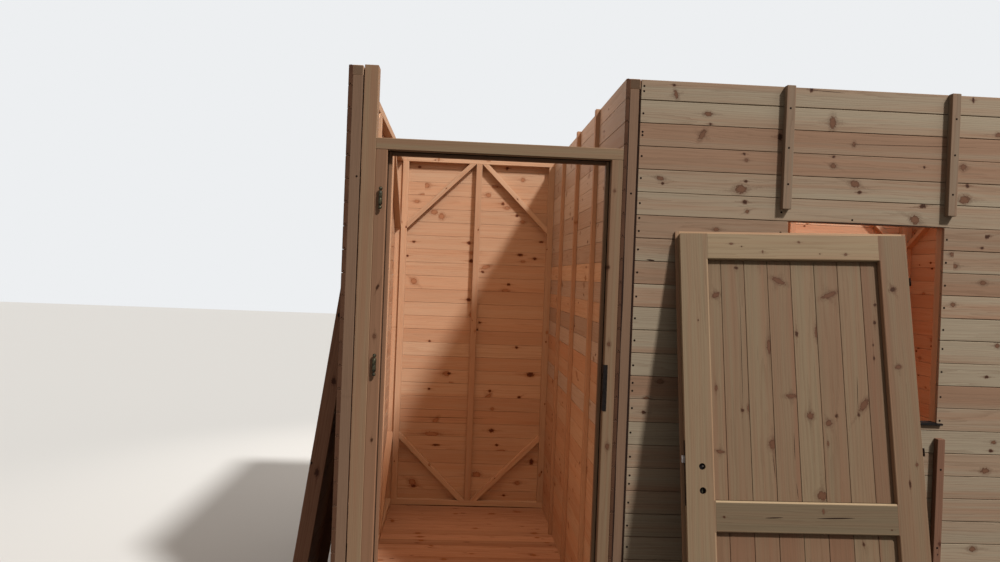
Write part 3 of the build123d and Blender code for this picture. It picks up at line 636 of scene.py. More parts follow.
# And those of the narrow room's back wall
backKnots = (   # live knots, then dead ones
    [(-1.58, 2.331, 17, 1.4, 0), (-1.60, 2.266, 14, 1.8, 0), (-1.64, 2.222, 13, 1.7, 0),
     (-1.52, 2.155, 18, 1.5, 0), (-1.47, 2.127, 18, 0.9, 0), (-1.16, 2.285, 15, 1.3, 0),
     (-1.12, 2.343, 14, 4.0, 0), (-0.93, 2.397, 12, 0.9, 0), (-1.03, 2.203, 13, 1.7, 0),
     (-0.92, 2.113, 13, 1.7, 0), (-1.26, 1.889, 12, 1.9, 0), (-0.91, 1.844, 10, 2.1, 0),
     (-1.16, 1.798, 18, 2.1, 20), (-1.64, 1.685, 19, 1.1, -40), (-1.02, 1.642, 16, 2.3, 0),
     (-1.25, 1.470, 11, 0.5, 0), (-1.39, 1.069, 20, 1.8, 0), (-1.37, 1.006, 11, 2.5, 0),
     (-1.11, 0.923, 17, 0.4, -45), (-1.08, 0.839, 10, 1.0, 0), (-1.46, 0.747, 19, 0.4, -35),
     (-1.48, 0.658, 26, 3.2, 0), (-1.01, 0.556, 15, 3.3, 0), (-1.17, 0.389, 23, 1.3, 0),
     (-1.60, 0.331, 22, 1.2, -30), (-0.89, 0.342, 14, 1.5, 0)],
    [(-1.63, 2.454, 9, 1.5, 0), (-1.04, 2.471, 11, 0.9, 0), (-1.06, 2.230, 10, 1.0, 0),
     (-0.96, 2.153, 10, 1.3, 0), (-1.65, 1.950, 9, 1.4, 0), (-1.28, 1.956, 12, 1.2, 0),
     (-1.26, 1.835, 13, 1.2, 0), (-1.69, 1.854, 8, 1.1, 0), (-0.93, 1.889, 13, 1.8, 0),
     (-0.83, 1.867, 11, 1.5, 0), (-0.79, 1.982, 10, 2.2, 0), (-1.18, 1.764, 9, 1.7, 0),
     (-1.00, 1.686, 10, 1.4, 0), (-1.27, 1.573, 13, 1.6, 0), (-1.19, 1.421, 10, 1.5, 0),
     (-1.20, 1.372, 11, 1.3, 0), (-1.52, 1.285, 8, 1.1, 0), (-0.93, 1.261, 9, 1.2, 0),
     (-1.38, 1.070, 10, 1.4, 0), (-0.83, 1.080, 20, 1.6, 0), (-1.51, 0.963, 8, 1.5, 0),
     (-1.10, 0.961, 9, 1.0, 0), (-0.90, 0.923, 11, 1.2, 30), (-1.08, 0.693, 15, 1.6, 0),
     (-1.45, 0.585, 13, 3.5, 0), (-1.04, 0.596, 9, 1.4, 0), (-0.80, 0.488, 17, 0.7, 0),
     (-1.59, 0.305, 12, 2.1, 0), (-0.98, 0.256, 8, 1.5, 0)])
# And those of the right wall, seen through the window hole: (y, z, ...)
rightKnots = (
    [(0.990, 1.729, 12, 1.6, 0)],
    [(0.921, 1.937, 9, 1.8, 0), (0.903, 1.899, 9, 1.8, 0), (1.031, 1.365, 11, 2.2, 0),
     (1.047, 1.341, 8, 1.8, 0), (1.013, 1.182, 7, 1.5, 0)])

frontLow, frontHigh = boxOf("front_wall_boards")
holeSolids = looseSolids("window_rails")
window = (holeSolids[0][:, 0].min() - frontLow[0], holeSolids[0][:, 0].max() - frontLow[0],
          holeSolids[0][:, 2].max() - frontLow[2], holeSolids[1][:, 2].min() - frontLow[2])
holeLeft, holeRight, holeFoot, holeTop = frontLow[[0, 0, 2, 2]] + window

outsideIn = [treated, fresh, wood["soakedEndGrain"], wood["greyishPine"]]
for node, normal, outward, seen in (
        ("left_wall_boards", 0, -1, ((), ())), ("right_wall_boards", 0, 1, rightKnots),
        ("main_back_boards", 1, 1, ((), ()))):
    woodPiece(node + "_clad", claddingBars(node, normal, outward, 0.5 * mm, seen=seen), outsideIn, [node])
backBars = claddingBars("annex_back_boards", 1, 1, 0.5 * mm, 0.9 * mm, seen=backKnots,
                        clear=lambda x, z: True)
for bar in backBars:   # these boards match better than most
    bar["tone"] = tuple(0.65 * part for part in bar["tone"])
woodPiece("annex_back_boards_clad", backBars, outsideIn, ["annex_back_boards"])
partitionBars = claddingBars("partition_boards", 0, -1, 0.5 * mm, 0.9 * mm)
for row, bar in enumerate(partitionBars):   # the upper boards and a few others are greyer
    bar["sides"] = 3 if row < 8 or row in (9, 11, 12, 15) else 1
woodPiece("partition_boards_clad", partitionBars, outsideIn, ["partition_boards"])
frontTones = ((0.0, 0.0), (-0.3, 0.03), (0.45, -0.02), (0.2, 0.0), (-0.2, 0.02), (0.15, 0.02), (0.5, -0.06))
# On the front panel the photo shows every larger knot but those low down behind the leaf, or far right
frontBars = claddingBars("front_wall_boards", 1, -1, 1.0 * mm, opening=window, tones=frontTones,
                         seen=frontKnots,
                         clear=lambda x, z: x < 0.9 and (z > 1.85 or x > 0.48 or x < -0.52))
woodPiece("front_wall_boards_clad", frontBars, outsideIn, ["front_wall_boards"])
print("cladding done")

framing = {"knotsPerMetre": 1.6, "knotSizes": (4 * mm, 9 * mm), "liveShare": 0.4, "arris": 1.5 * mm,
           "frontGap": 8 * mm, "atFront": 100 * mm,
           "frontTones": {"left_wall": (0.7, -0.3), "partition": (1.0, -0.26), "right_wall": (0.2, 0.0)},
           "holeStudPaintedLight": (0.9, 0.5), "holeStudReach": 60 * mm}


def timber(solids, make=boxBar, **extra):
    bars = []
    for solid in solids:
        bar = make(solid, arris=framing["arris"], **extra)
        width = bar["profile"][:, 0].max()
        bar["live"], bar["dead"] = randomKnots(bar["length"], width, framing["knotsPerMetre"],
                                               framing["knotSizes"], framing["liveShare"])
        bars.append(bar)
    return bars


def weatherFront(bars, node, tone):
    # Bars that reach the open front take the outdoor finish: a stud all round, a plate on its end grain
    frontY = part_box(node)[0][1]
    for bar in bars:
        ends = bar["origin"][1] + bar["axes"][0][1] * np.array([0, bar["length"]])
        front = np.abs(ends - frontY) < 1 * mm
        if abs(bar["axes"][0][2]) > 0.5 and front.all():
            bar["sides"], bar["capSides"], bar["tone"], bar["pith"] = 1, (1, 1), tone, (0.02, -0.03)
        elif front.any():
            bar["capSides"] = tuple(np.where(front, 2, 0))


def clearOfFront(solid):
    # The stud at the partition's front is narrowed, to stand a little clear of the front panel
    if solid[:, 1].max() > frontLow[1] + framing["atFront"]:
        return solid
    return np.minimum(solid, (frontLow[0] - framing["frontGap"], np.inf, np.inf))


for wall, normal in (("left_wall", 0), ("right_wall", 0), ("partition", 0), ("annex_back", 1),
                     ("main_back", 1), ("front_wall", 1)):
    for kind in ("studs", "plates"):
        node = f"{wall}_{kind}"
        solids = looseSolids(node)
        if node == "partition_studs":
            solids = [clearOfFront(solid) for solid in solids]
        bars = timber(solids)
        if normal == 0:
            weatherFront(bars, node, framing["frontTones"][wall])
        if node == "front_wall_studs":   # the one at the hole's right edge gets painted light, lighter and oranger, for the light from inside
            for bar in bars:
                if abs(bar["origin"][0] - holeRight) < framing["holeStudReach"]:
                    bar["tone"] = framing["holeStudPaintedLight"]
        woodPiece(node + "_timber", bars, [fresh, treated, wood["rainedEndGrain"]], [node])
    node = wall + "_braces"
    braces = timber(looseSolids(node), braceBar, normal=normal)
    woodPiece(node + "_timber", braces, [fresh], [node])
trimmerBars = timber(holeSolids)
trimmerBars[0]["tone"] = (0.6, -0.5)   # the lower one is painted darker, for the shade behind the sill strip
woodPiece("window_rails_timber", trimmerBars, [fresh], ["window_rails"])

# The battens below the hole are slimmer, darker and redder than the others, and end short of it
lowBatten = {"tall": 1.4, "foot": 1.0, "left": -5 * mm, "right": -10 * mm, "top": -14 * mm,
             "tone": (0.1, -0.45), "firstNail": 117 * mm, "nailStep": 320 * mm}


def belowHole(solid):
    # A short batten whose foot is low
    return solid[:, 2].min() < lowBatten["foot"] and np.ptp(solid[:, 2]) < lowBatten["tall"]


def fitBatten(solid):
    shift = np.where(solid > (solid.min(0) + solid.max(0)) / 2, [lowBatten["right"], 0, lowBatten["top"]],
                     [lowBatten["left"], 0, 0])
    return solid + shift if belowHole(solid) else solid


frontBattens = [fitBatten(solid) for solid in looseSolids("front_wall_battens")]
battenBars = timber(frontBattens, tone=(0.4, -0.22))
for solid, bar in zip(frontBattens, battenBars):
    if belowHole(solid):
        bar["sides"], bar["capSides"], bar["tone"] = 1, (1, 1), lowBatten["tone"]
woodPiece("front_wall_battens_timber", battenBars, [treated, stained], ["front_wall_battens"])
for node, finish, tone in (("outer_battens", treated, (0.2, -0.08)),
                           ("partition_battens", fresh, (0.25, -0.15))):
    woodPiece(node + "_timber", timber(looseSolids(node), tone=tone), [finish], [node])
for node in ("floor_joists", "floor_sleepers"):
    woodPiece(node + "_timber", timber(looseSolids(node)), [treated], [node])
# one side of the post and the arrises beside it get a painted highlight
postBars = timber(looseSolids("front_post"), tone=(0.36, 0.13), pith=(0.03, -0.12),
                  paleSides=[0.5, 0.5, 0, 0, 0, 0, 0, 0.5])
woodPiece("front_post_timber", postBars, [planed], ["front_post"])
print("framing done")

floorBoards = {"width": 96 * mm, "gap": 0.6 * mm, "arris": 0.8 * mm, "knotsPerMetre": 2.6,
               "knotSizes": (8 * mm, 16 * mm), "knotStretch": 3.0}
floorLow, floorHigh = boxOf("floor_boards")
floorLength, floorDepth, floorThick = floorHigh - floorLow
courses = int(round(floorDepth / floorBoards["width"]))
courseWidth = floorDepth / courses
floorBars = []
for course in range(courses):
    live, dead = randomKnots(floorLength, courseWidth, floorBoards["knotsPerMetre"], floorBoards["knotSizes"])
    dead = [(*knot[:3], floorBoards["knotStretch"] * knot[3], 0.0) for knot in dead]   # sawn lengthways
    edge = courseWidth + (0 if course == courses - 1 else tongue["past"])
    floorBars.append(dict(
        origin=floorLow + unitY * courseWidth * course, axes=np.eye(3), length=floorLength,
        profile=tonguedProfile(courseWidth, floorThick, floorBoards["gap"], floorBoards["arris"]),
        live=live, dead=dead, tops=([0, floorLength], [edge, edge]), waver=0.2 * mm))
woodPiece("floor_boards_laid", floorBars, [wood["floorPine"]], ["floor_boards"])
print("floor laid")

# Door frame: two jambs and a head, each rebated on its front side, with a stop behind the rebate
doorFrame = {"face": 45 * mm, "depth": 70 * mm, "rebate": 42 * mm, "stop": 15 * mm, "arris": 2.2 * mm,
             "stopArris": 1 * mm, "seal": (3 * mm, 4 * mm), "sealArris": 1.2 * mm}
face, deep, rebate, stop = (doorFrame[key] for key in ("face", "depth", "rebate", "stop"))
jambLow, jambHigh = boxOf("door_jambs")
headLow, headHigh = boxOf("door_head")
sillLow, sillHigh = boxOf("door_sill")
leftOutline = [(0, 0), (face, 0), (face, rebate), (face + stop, rebate), (face + stop, deep), (0, deep)]
rightOutline = [(0, 0), (face + stop, 0), (face + stop, deep - rebate), (face, deep - rebate), (face, deep),
                (0, deep)]
# Each jamb has a painted highlight on its front inner arris; the right one also has painted light on the
# stop's face and painted shade on the rebate's side
jambBars = [
    dict(origin=jambLow, axes=np.array([unitZ, unitX, unitY]),
         profile=trimmedProfile(leftOutline, doorFrame["arris"]),
         tone=(0.45, 0.1), pith=(0.02, -0.02), paleSides=[0, 0, 0.5] + [0] * 9,
         live=[(1.3, 0.02, 7 * mm)], dead=[(0.9, 0.025, 6 * mm), (1.49, 0.026, 7 * mm, 1.8, 20)]),
    dict(origin=np.array([*jambHigh[:2], jambLow[2]]), axes=np.array([unitZ, -unitX, -unitY]),
         profile=trimmedProfile(rightOutline, doorFrame["arris"]),
         tone=(0.3, -0.04), paleSides=[0, 0, 0, 0, 0, 0.35, 0, -0.1, 0.4, 0, 0, 0],
         live=[(1.9, 0.03, 5 * mm), (1.3, 0.03, 7 * mm), (0.9, 0.02, 9 * mm)], dead=[(1.6, 0.043, 6 * mm)])]
for bar in jambBars:
    bar.update(length=jambHigh[2] - jambLow[2], waver=0.1 * mm)
woodPiece("door_jambs_planed", jambBars, [planed], ["door_jambs"])


def crossBars(low, high, foot, top, stopFoot, stopTop):
    # The rail over the full width, and its stop strip between the jambs' own stops
    width, depth = high[0] - low[0], high[1] - low[1]
    overJambs = width > jambHigh[0] - jambLow[0] - face
    inset = face + stop if overJambs else stop
    return [dict(origin=np.array([low[0], low[1], foot]), axes=np.eye(3), length=width,
                 profile=chamferedProfile(depth if overJambs else rebate, top - foot, doorFrame["arris"]),
                 tone=(0.15, 0.02), live=[(0.42, 0.03, 5 * mm)], waver=0.1 * mm),
            dict(origin=np.array([low[0] + inset, low[1] + rebate, stopFoot]), axes=np.eye(3),
                 length=width - 2 * inset,
                 profile=chamferedProfile(deep - rebate, stopTop - stopFoot, doorFrame["stopArris"]),
                 tone=(0.8, -0.25), waver=0.05 * mm)]


headFoot = headLow[2] + stop
headBars = crossBars(headLow, headHigh, headFoot, headHigh[2], headLow[2], headFoot)
woodPiece("door_head_planed", headBars, [planed], ["door_head"])
sillBars = crossBars(sillLow, sillHigh, sillLow[2], sillHigh[2] - stop, sillLow[2], sillHigh[2])
woodPiece("door_sill_planed", sillBars, [planed], ["door_sill"])
print("door frame done")

# Door leaf: its own axes are read from its boards, which are plain turned boxes
leafLook = {"joint": 89.2 * mm, "firstJoint": 52 * mm, "lastBoard": 30 * mm, "gap": 0.75 * mm,
            "boardArris": 0.9 * mm, "knotsPerMetre": 1.5, "knotSizes": (5 * mm, 11 * mm), "liveShare": 0.6,
            "otherKnotsBelow": 0.9,
            "arris": 7 * mm, "edgeArris": 1 * mm, "capArris": 0.6 * mm, "paintedArrisHighlight": 0.3, "paintedTopHighlight": 1.0,
            "paintedLightInShade": 0.6, "square": 0.999}   # cosine above which a face is square to an axis
boardTones = ((0.12, -0.11), (0.2, -0.14), (0.04, -0.12), (0.22, -0.14), (0.0, -0.1), (0.22, -0.15),
              (0.12, -0.12), (0.22, -0.17))
# Knots of its boards, live ones and dead ones, from the leaf's lower left corner: (across, up, radius mm,
# stretch along the grain, lean)
panelKnots = (
    [(0.136, 1.723, 12, 0.6, 20), (0.125, 1.367, 7, 2, 0), (0.132, 1.134, 9, 0.4, -10),
     (0.245, 1.295, 9, 2, 0), (0.33, 1.529, 14, 3, 0), (0.328, 1.163, 15, 1.4, 0),
     (0.377, 1.781, 15, 0.35, -25), (0.405, 1.342, 12, 0.35, 0), (0.513, 1.586, 14, 3, 0),
     (0.471, 1.27, 12, 1.1, 0), (0.499, 0.982, 16, 0.9, 0), (0.568, 1.729, 16, 0.3, 25),
     (0.538, 1.245, 11, 0.9, 20), (0.53, 1.169, 6, 2.4, 0), (0.672, 1.314, 16, 2.4, -35)],
    [(0.217, 1.83, 6, 0.8, 0), (0.436, 1.577, 8, 1.9, 0), (0.22, 1.286, 6, 1, 0), (0.568, 1.271, 6, 1, 0),
     (0.739, 1.693, 5, 1.2, 0), (0.733, 1.625, 6, 1.3, 0), (0.721, 1.539, 4, 1.7, 0), (0.721, 1.49, 5, 2, 0),
     (0.65, 1.277, 5, 1.4, 0)])

leafSolids = sorted(looseSolids("leaf_boards"), key=lambda solid: solid[:, 2].mean())
stileSolids = sorted(looseSolids("leaf_stiles"), key=lambda solid: solid[:, 0].mean())
leafAxes = turnedAxes(leafSolids[0], unitX, unitZ)
stileAxes = np.array([leafAxes[1], -leafAxes[0], leafAxes[2]])
leafLow, leafHigh = reach(stileSolids, leafAxes)
leafOrigin = leafLow @ leafAxes
leafWidth, leafHeight, leafThick = leafHigh - leafLow
stileWidth = np.ptp(reach([stileSolids[1]], leafAxes), axis=0)[0]
panelWidth = leafWidth - 2 * stileWidth
railSpans = sorted((low[1] - leafLow[1], high[1] - leafLow[1])
                   for low, high in (reach([solid], leafAxes) for solid in looseSolids("leaf_rails")))


def inLeaf(across, up, depth):
    return leafOrigin + np.array([across, up, depth]) @ leafAxes


railLooks = (
    dict(tone=(0.2, 0.12), live=[(0.3, 0.05, 9 * mm)], dead=[]),
    dict(tone=(-0.15, -0.38), live=[(0.386, 0.079, 5 * mm, 0.5)],
         dead=[(0.028, 0.054, 4 * mm), (0.627, 0.02, 3 * mm)]),
    dict(tone=(-0.2, 0.12), dead=[(0.428, 0.025, 2.5 * mm), (0.13, 0.05, 2.5 * mm)],
         live=[(0.526, 0.024, 5 * mm), (0.09, 0.06, 5 * mm, 2.0), (0.21, 0.03, 4 * mm, 0.6),
               (0.35, 0.07, 4 * mm)]))
railBars = []
for (low, high), look in zip(railSpans, railLooks):
    # Rounded where a rail meets the boards, with a painted highlight there, strongest on its sunlit upper
    # side
    atEnds = [not 1 * mm < edge < leafHeight - 1 * mm for edge in (high, low)]
    radii = [leafLook["edgeArris" if atEnd else "arris"] for atEnd in atEnds]
    profile = roundedProfile(high - low, leafThick, radii)
    middles = (profile + np.roll(profile, -1, 0)) / 2
    rounded = (middles[:, 1] > leafThick / 2) & (middles[:, 1] < leafThick - 0.1 * mm)
    pale = np.where(middles[:, 0] > (high - low) / 2, leafLook["paintedTopHighlight"], leafLook["paintedArrisHighlight"])
    railBars.append(dict(origin=inLeaf(stileWidth, low, 0), axes=leafAxes, length=panelWidth, profile=profile,
                         arris=leafLook["capArris"], paleSides=np.where(rounded, pale, 0.0), waver=0.05 * mm,
                         **look))
woodPiece("leaf_rails_planed", railBars, [planed], ["leaf_rails"])

boardEdges = np.arange(leafLook["firstJoint"], panelWidth - leafLook["lastBoard"], leafLook["joint"])
boardEdges = np.concatenate([[0], boardEdges, [panelWidth]])
boardBars = []
for solid in leafSolids:
    low, high = (corner - leafLow for corner in reach([solid], leafAxes))
    length = high[1] - low[1]
    for index, (left, right) in enumerate(zip(boardEdges, boardEdges[1:])):
        width = right - left
        sorts = randomKnots(length, width, leafLook["knotsPerMetre"], leafLook["knotSizes"],
                            leafLook["liveShare"])
        sorts = [[knot for knot in sort if knot[0] + low[1] < leafLook["otherKnotsBelow"]] for sort in sorts]
        for sort, placed in zip(sorts, panelKnots):
            sort += [(rise - low[1], stileWidth + right - across, radius * mm, stretch, lean)
                     for across, rise, radius, stretch, lean in placed
                     if left <= across - stileWidth < right and low[1] < rise < high[1]]
        edge = width + (tongue["past"] if index else 0)
        boardBars.append(dict(
            origin=inLeaf(stileWidth + right, low[1], low[2]), axes=stileAxes, length=length,
            profile=tonguedProfile(width, high[2] - low[2], leafLook["gap"], leafLook["boardArris"]),
            tops=([0, length], [edge, edge]), live=sorts[0], dead=sorts[1],
            tone=boardTones[index % len(boardTones)], waver=0.08 * mm))
woodPiece("leaf_boards_tongued", boardBars, [planed], ["leaf_boards"])


def cadPart(node, solid, axes, origin, bar):
    # A carried-over solid, copied and merged, cut where one knot's stretch gives way to the next
    work = bmesh.new()
    work.from_mesh(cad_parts[node].data)
    bmesh.ops.remove_doubles(work, verts=work.verts, dist=0.02 * mm)
    mine = {tuple(np.round(point, 5)) for point in solid.tolist()}
    others = [vert for vert in work.verts if tuple(np.round(vert.co, 5)) not in mine]
    bmesh.ops.delete(work, geom=others, context="VERTS")
    for found in (bar["live"], bar["dead"]):
        places = sorted(knot[0] for knot in found)
        for first, second in zip(places, places[1:]):
            bmesh.ops.bisect_plane(work, geom=work.verts[:] + work.edges[:] + work.faces[:],
                                   plane_co=origin + axes[0] * (first + second) / 2, plane_no=axes[0])
    work.verts.index_update()
    points = np.array([v.co for v in work.verts])
    faces = [[v.index for v in f.verts] for f in work.faces]
    facing = np.array([f.normal for f in work.faces]) @ axes.T
    work.free()
    counts = np.array([len(face) for face in faces])
    at = (points[np.concatenate(faces)] - origin) @ axes.T
    starts = np.concatenate([[0], np.cumsum(counts)[:-1]])
    middle = np.repeat(np.add.reduceat(at[:, 0], starts) / counts, counts)
    fields = woodFields(at, middle, bar)
    # Painted highlight on the rounded arrises; the faces that turn to the left, away from the sun, are
    # painted lighter
    rounded = np.abs(facing).max(1) <= leafLook["square"]
    shaded = facing[:, 1] > leafLook["square"]
    for which, paintedLighter in ((rounded, leafLook["paintedArrisHighlight"]), (shaded, leafLook["paintedLightInShade"])):
        fields["tone"][np.repeat(which, counts), 1] += paintedLighter
    return {"points": points, "faces": faces, "fields": fields, "materials": np.zeros(len(faces), int)}


stileParts = [
    cadPart("leaf_stiles", stileSolids[0], stileAxes, inLeaf(stileWidth, 0, 0),
            dict(tone=(-0.02, -0.08), pith=(-0.02, -0.055), live=[(0.55, 0.05, 8 * mm)],
                 dead=[(1.62, 0.045, 3 * mm)])),
    cadPart("leaf_stiles", stileSolids[1], stileAxes, inLeaf(leafWidth, 0, 0),
            dict(tone=(0.12, -0.16), pith=(0.13, -0.03),
                 live=[(1.455, 0.065, 9 * mm, 0.6, 10), (1.1, 0.024, 5 * mm)],
                 dead=[(1.75, 0.063, 11 * mm, 0.7, 25), (1.031, 0.054, 7 * mm, 4.0)]))]
woodPiece("leaf_stiles_planed", stileParts, [planed], ["leaf_stiles"])
print("leaf done")

# The leaf's rebate: behind its edges a thinner lip stands out at both sides and at the top. Its tones carry
# painted light, lighter in the shade at its sides and a painted highlight along its top
lipLook = {"wide": 14 * mm, "back": 4 * mm, "front": 13 * mm, "arris": 1 * mm, "sideToneAndPaintedLight": (0.4, 0.25),
           "topToneAndPaintedHighlight": (0.2, 0.75)}
lipWide, lipBack, lipFront = (lipLook[key] for key in ("wide", "back", "front"))
lipProfile = chamferedProfile(lipWide, lipFront - lipBack, lipLook["arris"])
lipHeight = leafHeight + lipWide
lipBars = [dict(origin=inLeaf(*corner), axes=np.array(axes), length=length, profile=lipProfile,
                tone=lipLook[tone], arris=lipLook["arris"], waver=0.0)
           for corner, axes, length, tone in (
               ((0, 0, lipBack), stileAxes, lipHeight, "sideToneAndPaintedLight"),
               ((leafWidth, 0, lipFront), (leafAxes[1], leafAxes[0], -leafAxes[2]), lipHeight, "sideToneAndPaintedLight"),
               ((0, leafHeight, lipBack), leafAxes, leafWidth, "topToneAndPaintedHighlight"))]
woodPiece("leaf_lips_planed", lipBars, [planed], [])

# Loose panel: two sides, two ends and the boards that lie across it, all turned boxes
spareLook = {"strips": 9, "arris": 1.5 * mm, "knotsPerMetre": 2.2, "knotSizes": (6 * mm, 12 * mm)}
spareAxes = turnedAxes(looseSolids("spare_boards")[0], unitY, unitZ)
for node in ("spare_sides", "spare_ends", "spare_boards"):
    if node == "spare_boards":
        low, high = reach(looseSolids(node), spareAxes)
        length, height, thick = (high - low) / (1, spareLook["strips"], 1)
        bars = []
        for strip in range(spareLook["strips"]):
            edge = height + (0 if strip == spareLook["strips"] - 1 else tongue["past"])
            bars.append(dict(origin=(low + unitY * height * strip) @ spareAxes, axes=spareAxes, length=length,
                             profile=tonguedProfile(height, thick), tops=([0, length], [edge, edge])))
    else:
        bars = [boxBar(solid, spareLook["arris"], spareAxes) for solid in looseSolids(node)]
    for bar in bars:
        width = bar["profile"][:, 0].max()
        bar["live"], bar["dead"] = randomKnots(bar["length"], width, spareLook["knotsPerMetre"],
                                               spareLook["knotSizes"])
    woodPiece(node + "_stained", bars, [stained], [node])
print("loose panel done")


def turnedShape(profile, centre, axes, steps=28, ring=False):
    # Point (i, j) = centre + radius_i (cos t_j first + sin t_j second) + height_i third. Flat caps close both
    # ends, or, for a ring, the outline runs back to its start
    profile = np.array(profile, float)
    turn = np.linspace(0, 2 * math.pi, steps, endpoint=False)
    circle = np.stack([np.cos(turn), np.sin(turn), np.zeros(steps)], -1)
    local = profile[:, None, :1] * circle[None] + profile[:, None, 1:] * unitZ
    points = (np.array(centre) + local @ np.array(axes)).reshape(-1, 3)
    rows = len(profile)
    i, j = np.meshgrid(np.arange(rows if ring else rows - 1), np.arange(steps), indexing="ij")
    k, after = (j + 1) % steps, (i + 1) % rows
    quads = np.stack([i * steps + j, i * steps + k, after * steps + k, after * steps + j], -1).reshape(-1, 4)
    caps = [] if ring else [np.arange(steps)[::-1].tolist(), ((rows - 1) * steps + np.arange(steps)).tolist()]
    return points, quads.tolist() + caps


def plainBar(origin, axes, length, profile, arris=0.5 * mm):
    bar = barMesh(dict(origin=origin, axes=axes, length=length, profile=profile, arris=arris, waver=0.0))
    return bar["points"], bar["faces"]


# Hinge halves left on the jamb: a barrel with a rounded knob at each end, on two screwed stems
hingeLook = {"barrel": 7.5 * mm, "knob": 7.4 * mm, "neck": 4.4 * mm, "stem": 3.5 * mm,
             "stemLevels": (-20 * mm, 20 * mm)}
barrel, knob, neck, stem = (hingeLook[key] for key in ("barrel", "knob", "neck", "stem"))
hingeShapes = []
for solid in looseSolids("hinges"):
    low, high = solid.min(0), solid.max(0)
    half = (high[2] - low[2]) / 2
    centre = np.array([(low[0] + high[0]) / 2, low[1] + barrel, (low[2] + high[2]) / 2])
    turn = np.linspace(0.12, math.pi - 0.35, 9)
    cap = np.stack([knob * np.sin(turn), half - knob + knob * np.cos(turn)], -1)
    body = np.array([(neck, half - 2.3 * knob), (barrel - 0.8 * mm, half - 2.5 * knob),
                     (barrel, half - 2.62 * knob), (barrel, 2.4 * mm), (barrel - 0.7 * mm, 1.2 * mm),
                     (barrel - 0.7 * mm, 0)])
    upper = np.concatenate([cap, body])
    hingeShapes.append(turnedShape(np.concatenate([upper * (1, -1), upper[-2::-1]]), centre, np.eye(3)))
    hingeShapes += [turnedShape([(stem, 0), (stem, high[1] - centre[1])], centre + unitZ * level,
                                [unitX, -unitZ, unitY], 12) for level in hingeLook["stemLevels"]]
plainPiece("hinges_turned", hingeShapes, skins["olivePassivatedSteel"], ["hinges"],
           rounded=True)
# Their other halves, dark sockets along the leaf's right edge at the same levels
socketLook = {"radius": 4.5 * mm, "half": 15 * mm, "proud": 4.5 * mm}
socketOutline = [(socketLook["radius"], -socketLook["half"]), (socketLook["radius"], socketLook["half"])]
socketShapes = []
for solid in looseSolids("hinges"):
    level = lipHeight - (headFoot - solid[:, 2].mean())
    centre = inLeaf(leafWidth + lipWide + socketLook["proud"], level, (lipBack + lipFront) / 2)
    socketShapes.append(turnedShape(socketOutline, centre, leafAxes[[2, 0, 1]], 16))
plainPiece("leaf_hinge_sockets", socketShapes, skins["rustedNail"], [], rounded=True)

# Sill strip at the hole's foot: sheet folded down in front, its fall and lip carried along the hole, and
# behind it a thin sheet over the rail
stripLook = {"reach": 12 * mm, "lip": 6.5 * mm, "thick": 2.5 * mm, "fall": 1 * mm, "inside": 50 * mm,
             "sheet": 1.5 * mm, "arris": 0.5 * mm, "sheetArris": 0.3 * mm}
out, lip, thick, fall = (stripLook[key] for key in ("reach", "lip", "thick", "fall"))
stripLow, stripHigh = boxOf("window_sill")
stripOutline = [(0, 0), (out, fall), (out, fall + lip), (out - thick, fall + lip),
                (out - thick, fall + thick), (0, thick)]
stripShapes = [
    plainBar(np.array([stripLow[0], *stripHigh[1:]]), np.array([unitX, -unitY, -unitZ]),
             stripHigh[0] - stripLow[0], trimmedProfile(stripOutline, stripLook["arris"]), 0.4 * mm),
    plainBar(np.array([holeLeft, stripHigh[1] - out / 2, stripHigh[2]]), np.eye(3), window[1] - window[0],
             chamferedProfile(stripLook["inside"], stripLook["sheet"], stripLook["sheetArris"]),
             stripLook["sheetArris"])]
plainPiece("window_sill_folded", stripShapes, skins["blackCoatedSteel"], ["window_sill"])

# The strike plate and the lock's case keep the CAD's own meshes
for node in ("strike_plate", "leaf_lock"):
    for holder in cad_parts[node].material_slots:
        holder.material = skins["blackCoatedSteel"]
# Bright parts of the lock: the latch, the follower in the spindle's hole and the cam edge in the cylinder's
lockLook = {"across": 60 * mm, "spindle": 1.079, "cylinder": 0.993, "case": 27 * mm, "latchFoot": 1.0907,
            "latchHeight": 26.6 * mm, "follower": (3.6 * mm, 1.4 * mm), "followerHeight": 1.2 * mm,
            "followerAside": (4.5 * mm, 1 * mm), "cam": (3 * mm, 15 * mm), "camDepth": 1.5 * mm}
latchOutline = np.array([(13.4, -4.4), (26.4, -12.3), (26.4, 0.2), (13.4, 0.2)]) * mm   # (depth, across)
lockAxes = leafAxes[[1, 2, 0]]   # along the leaf's height, then depth, then width
outer, inner = lockLook["follower"]
aside, above = lockLook["followerAside"]
tall = lockLook["followerHeight"]
follower = inLeaf(lockLook["across"] + aside, lockLook["spindle"] + above, lockLook["case"])
lockShapes = [
    plainBar(inLeaf(0, lockLook["latchFoot"], 0), lockAxes, lockLook["latchHeight"],
             trimmedProfile(latchOutline, 0.5 * mm)),
    turnedShape([(outer, 0), (outer, tall), (inner, tall), (inner, 0)], follower, leafAxes, 24, ring=True)]
plainPiece("leaf_lock_brightwork", lockShapes, skins["platedSteel"], [])
camWide, camHigh = lockLook["cam"]
camFoot = inLeaf(lockLook["across"] - camWide / 2, lockLook["cylinder"] - camHigh / 2, lockLook["case"])
camShape = plainBar(camFoot, lockAxes, camHigh, chamferedProfile(lockLook["camDepth"], camWide, 0.3 * mm))
plainPiece("leaf_lock_cam", [camShape], skins["olivePassivatedSteel"], [])

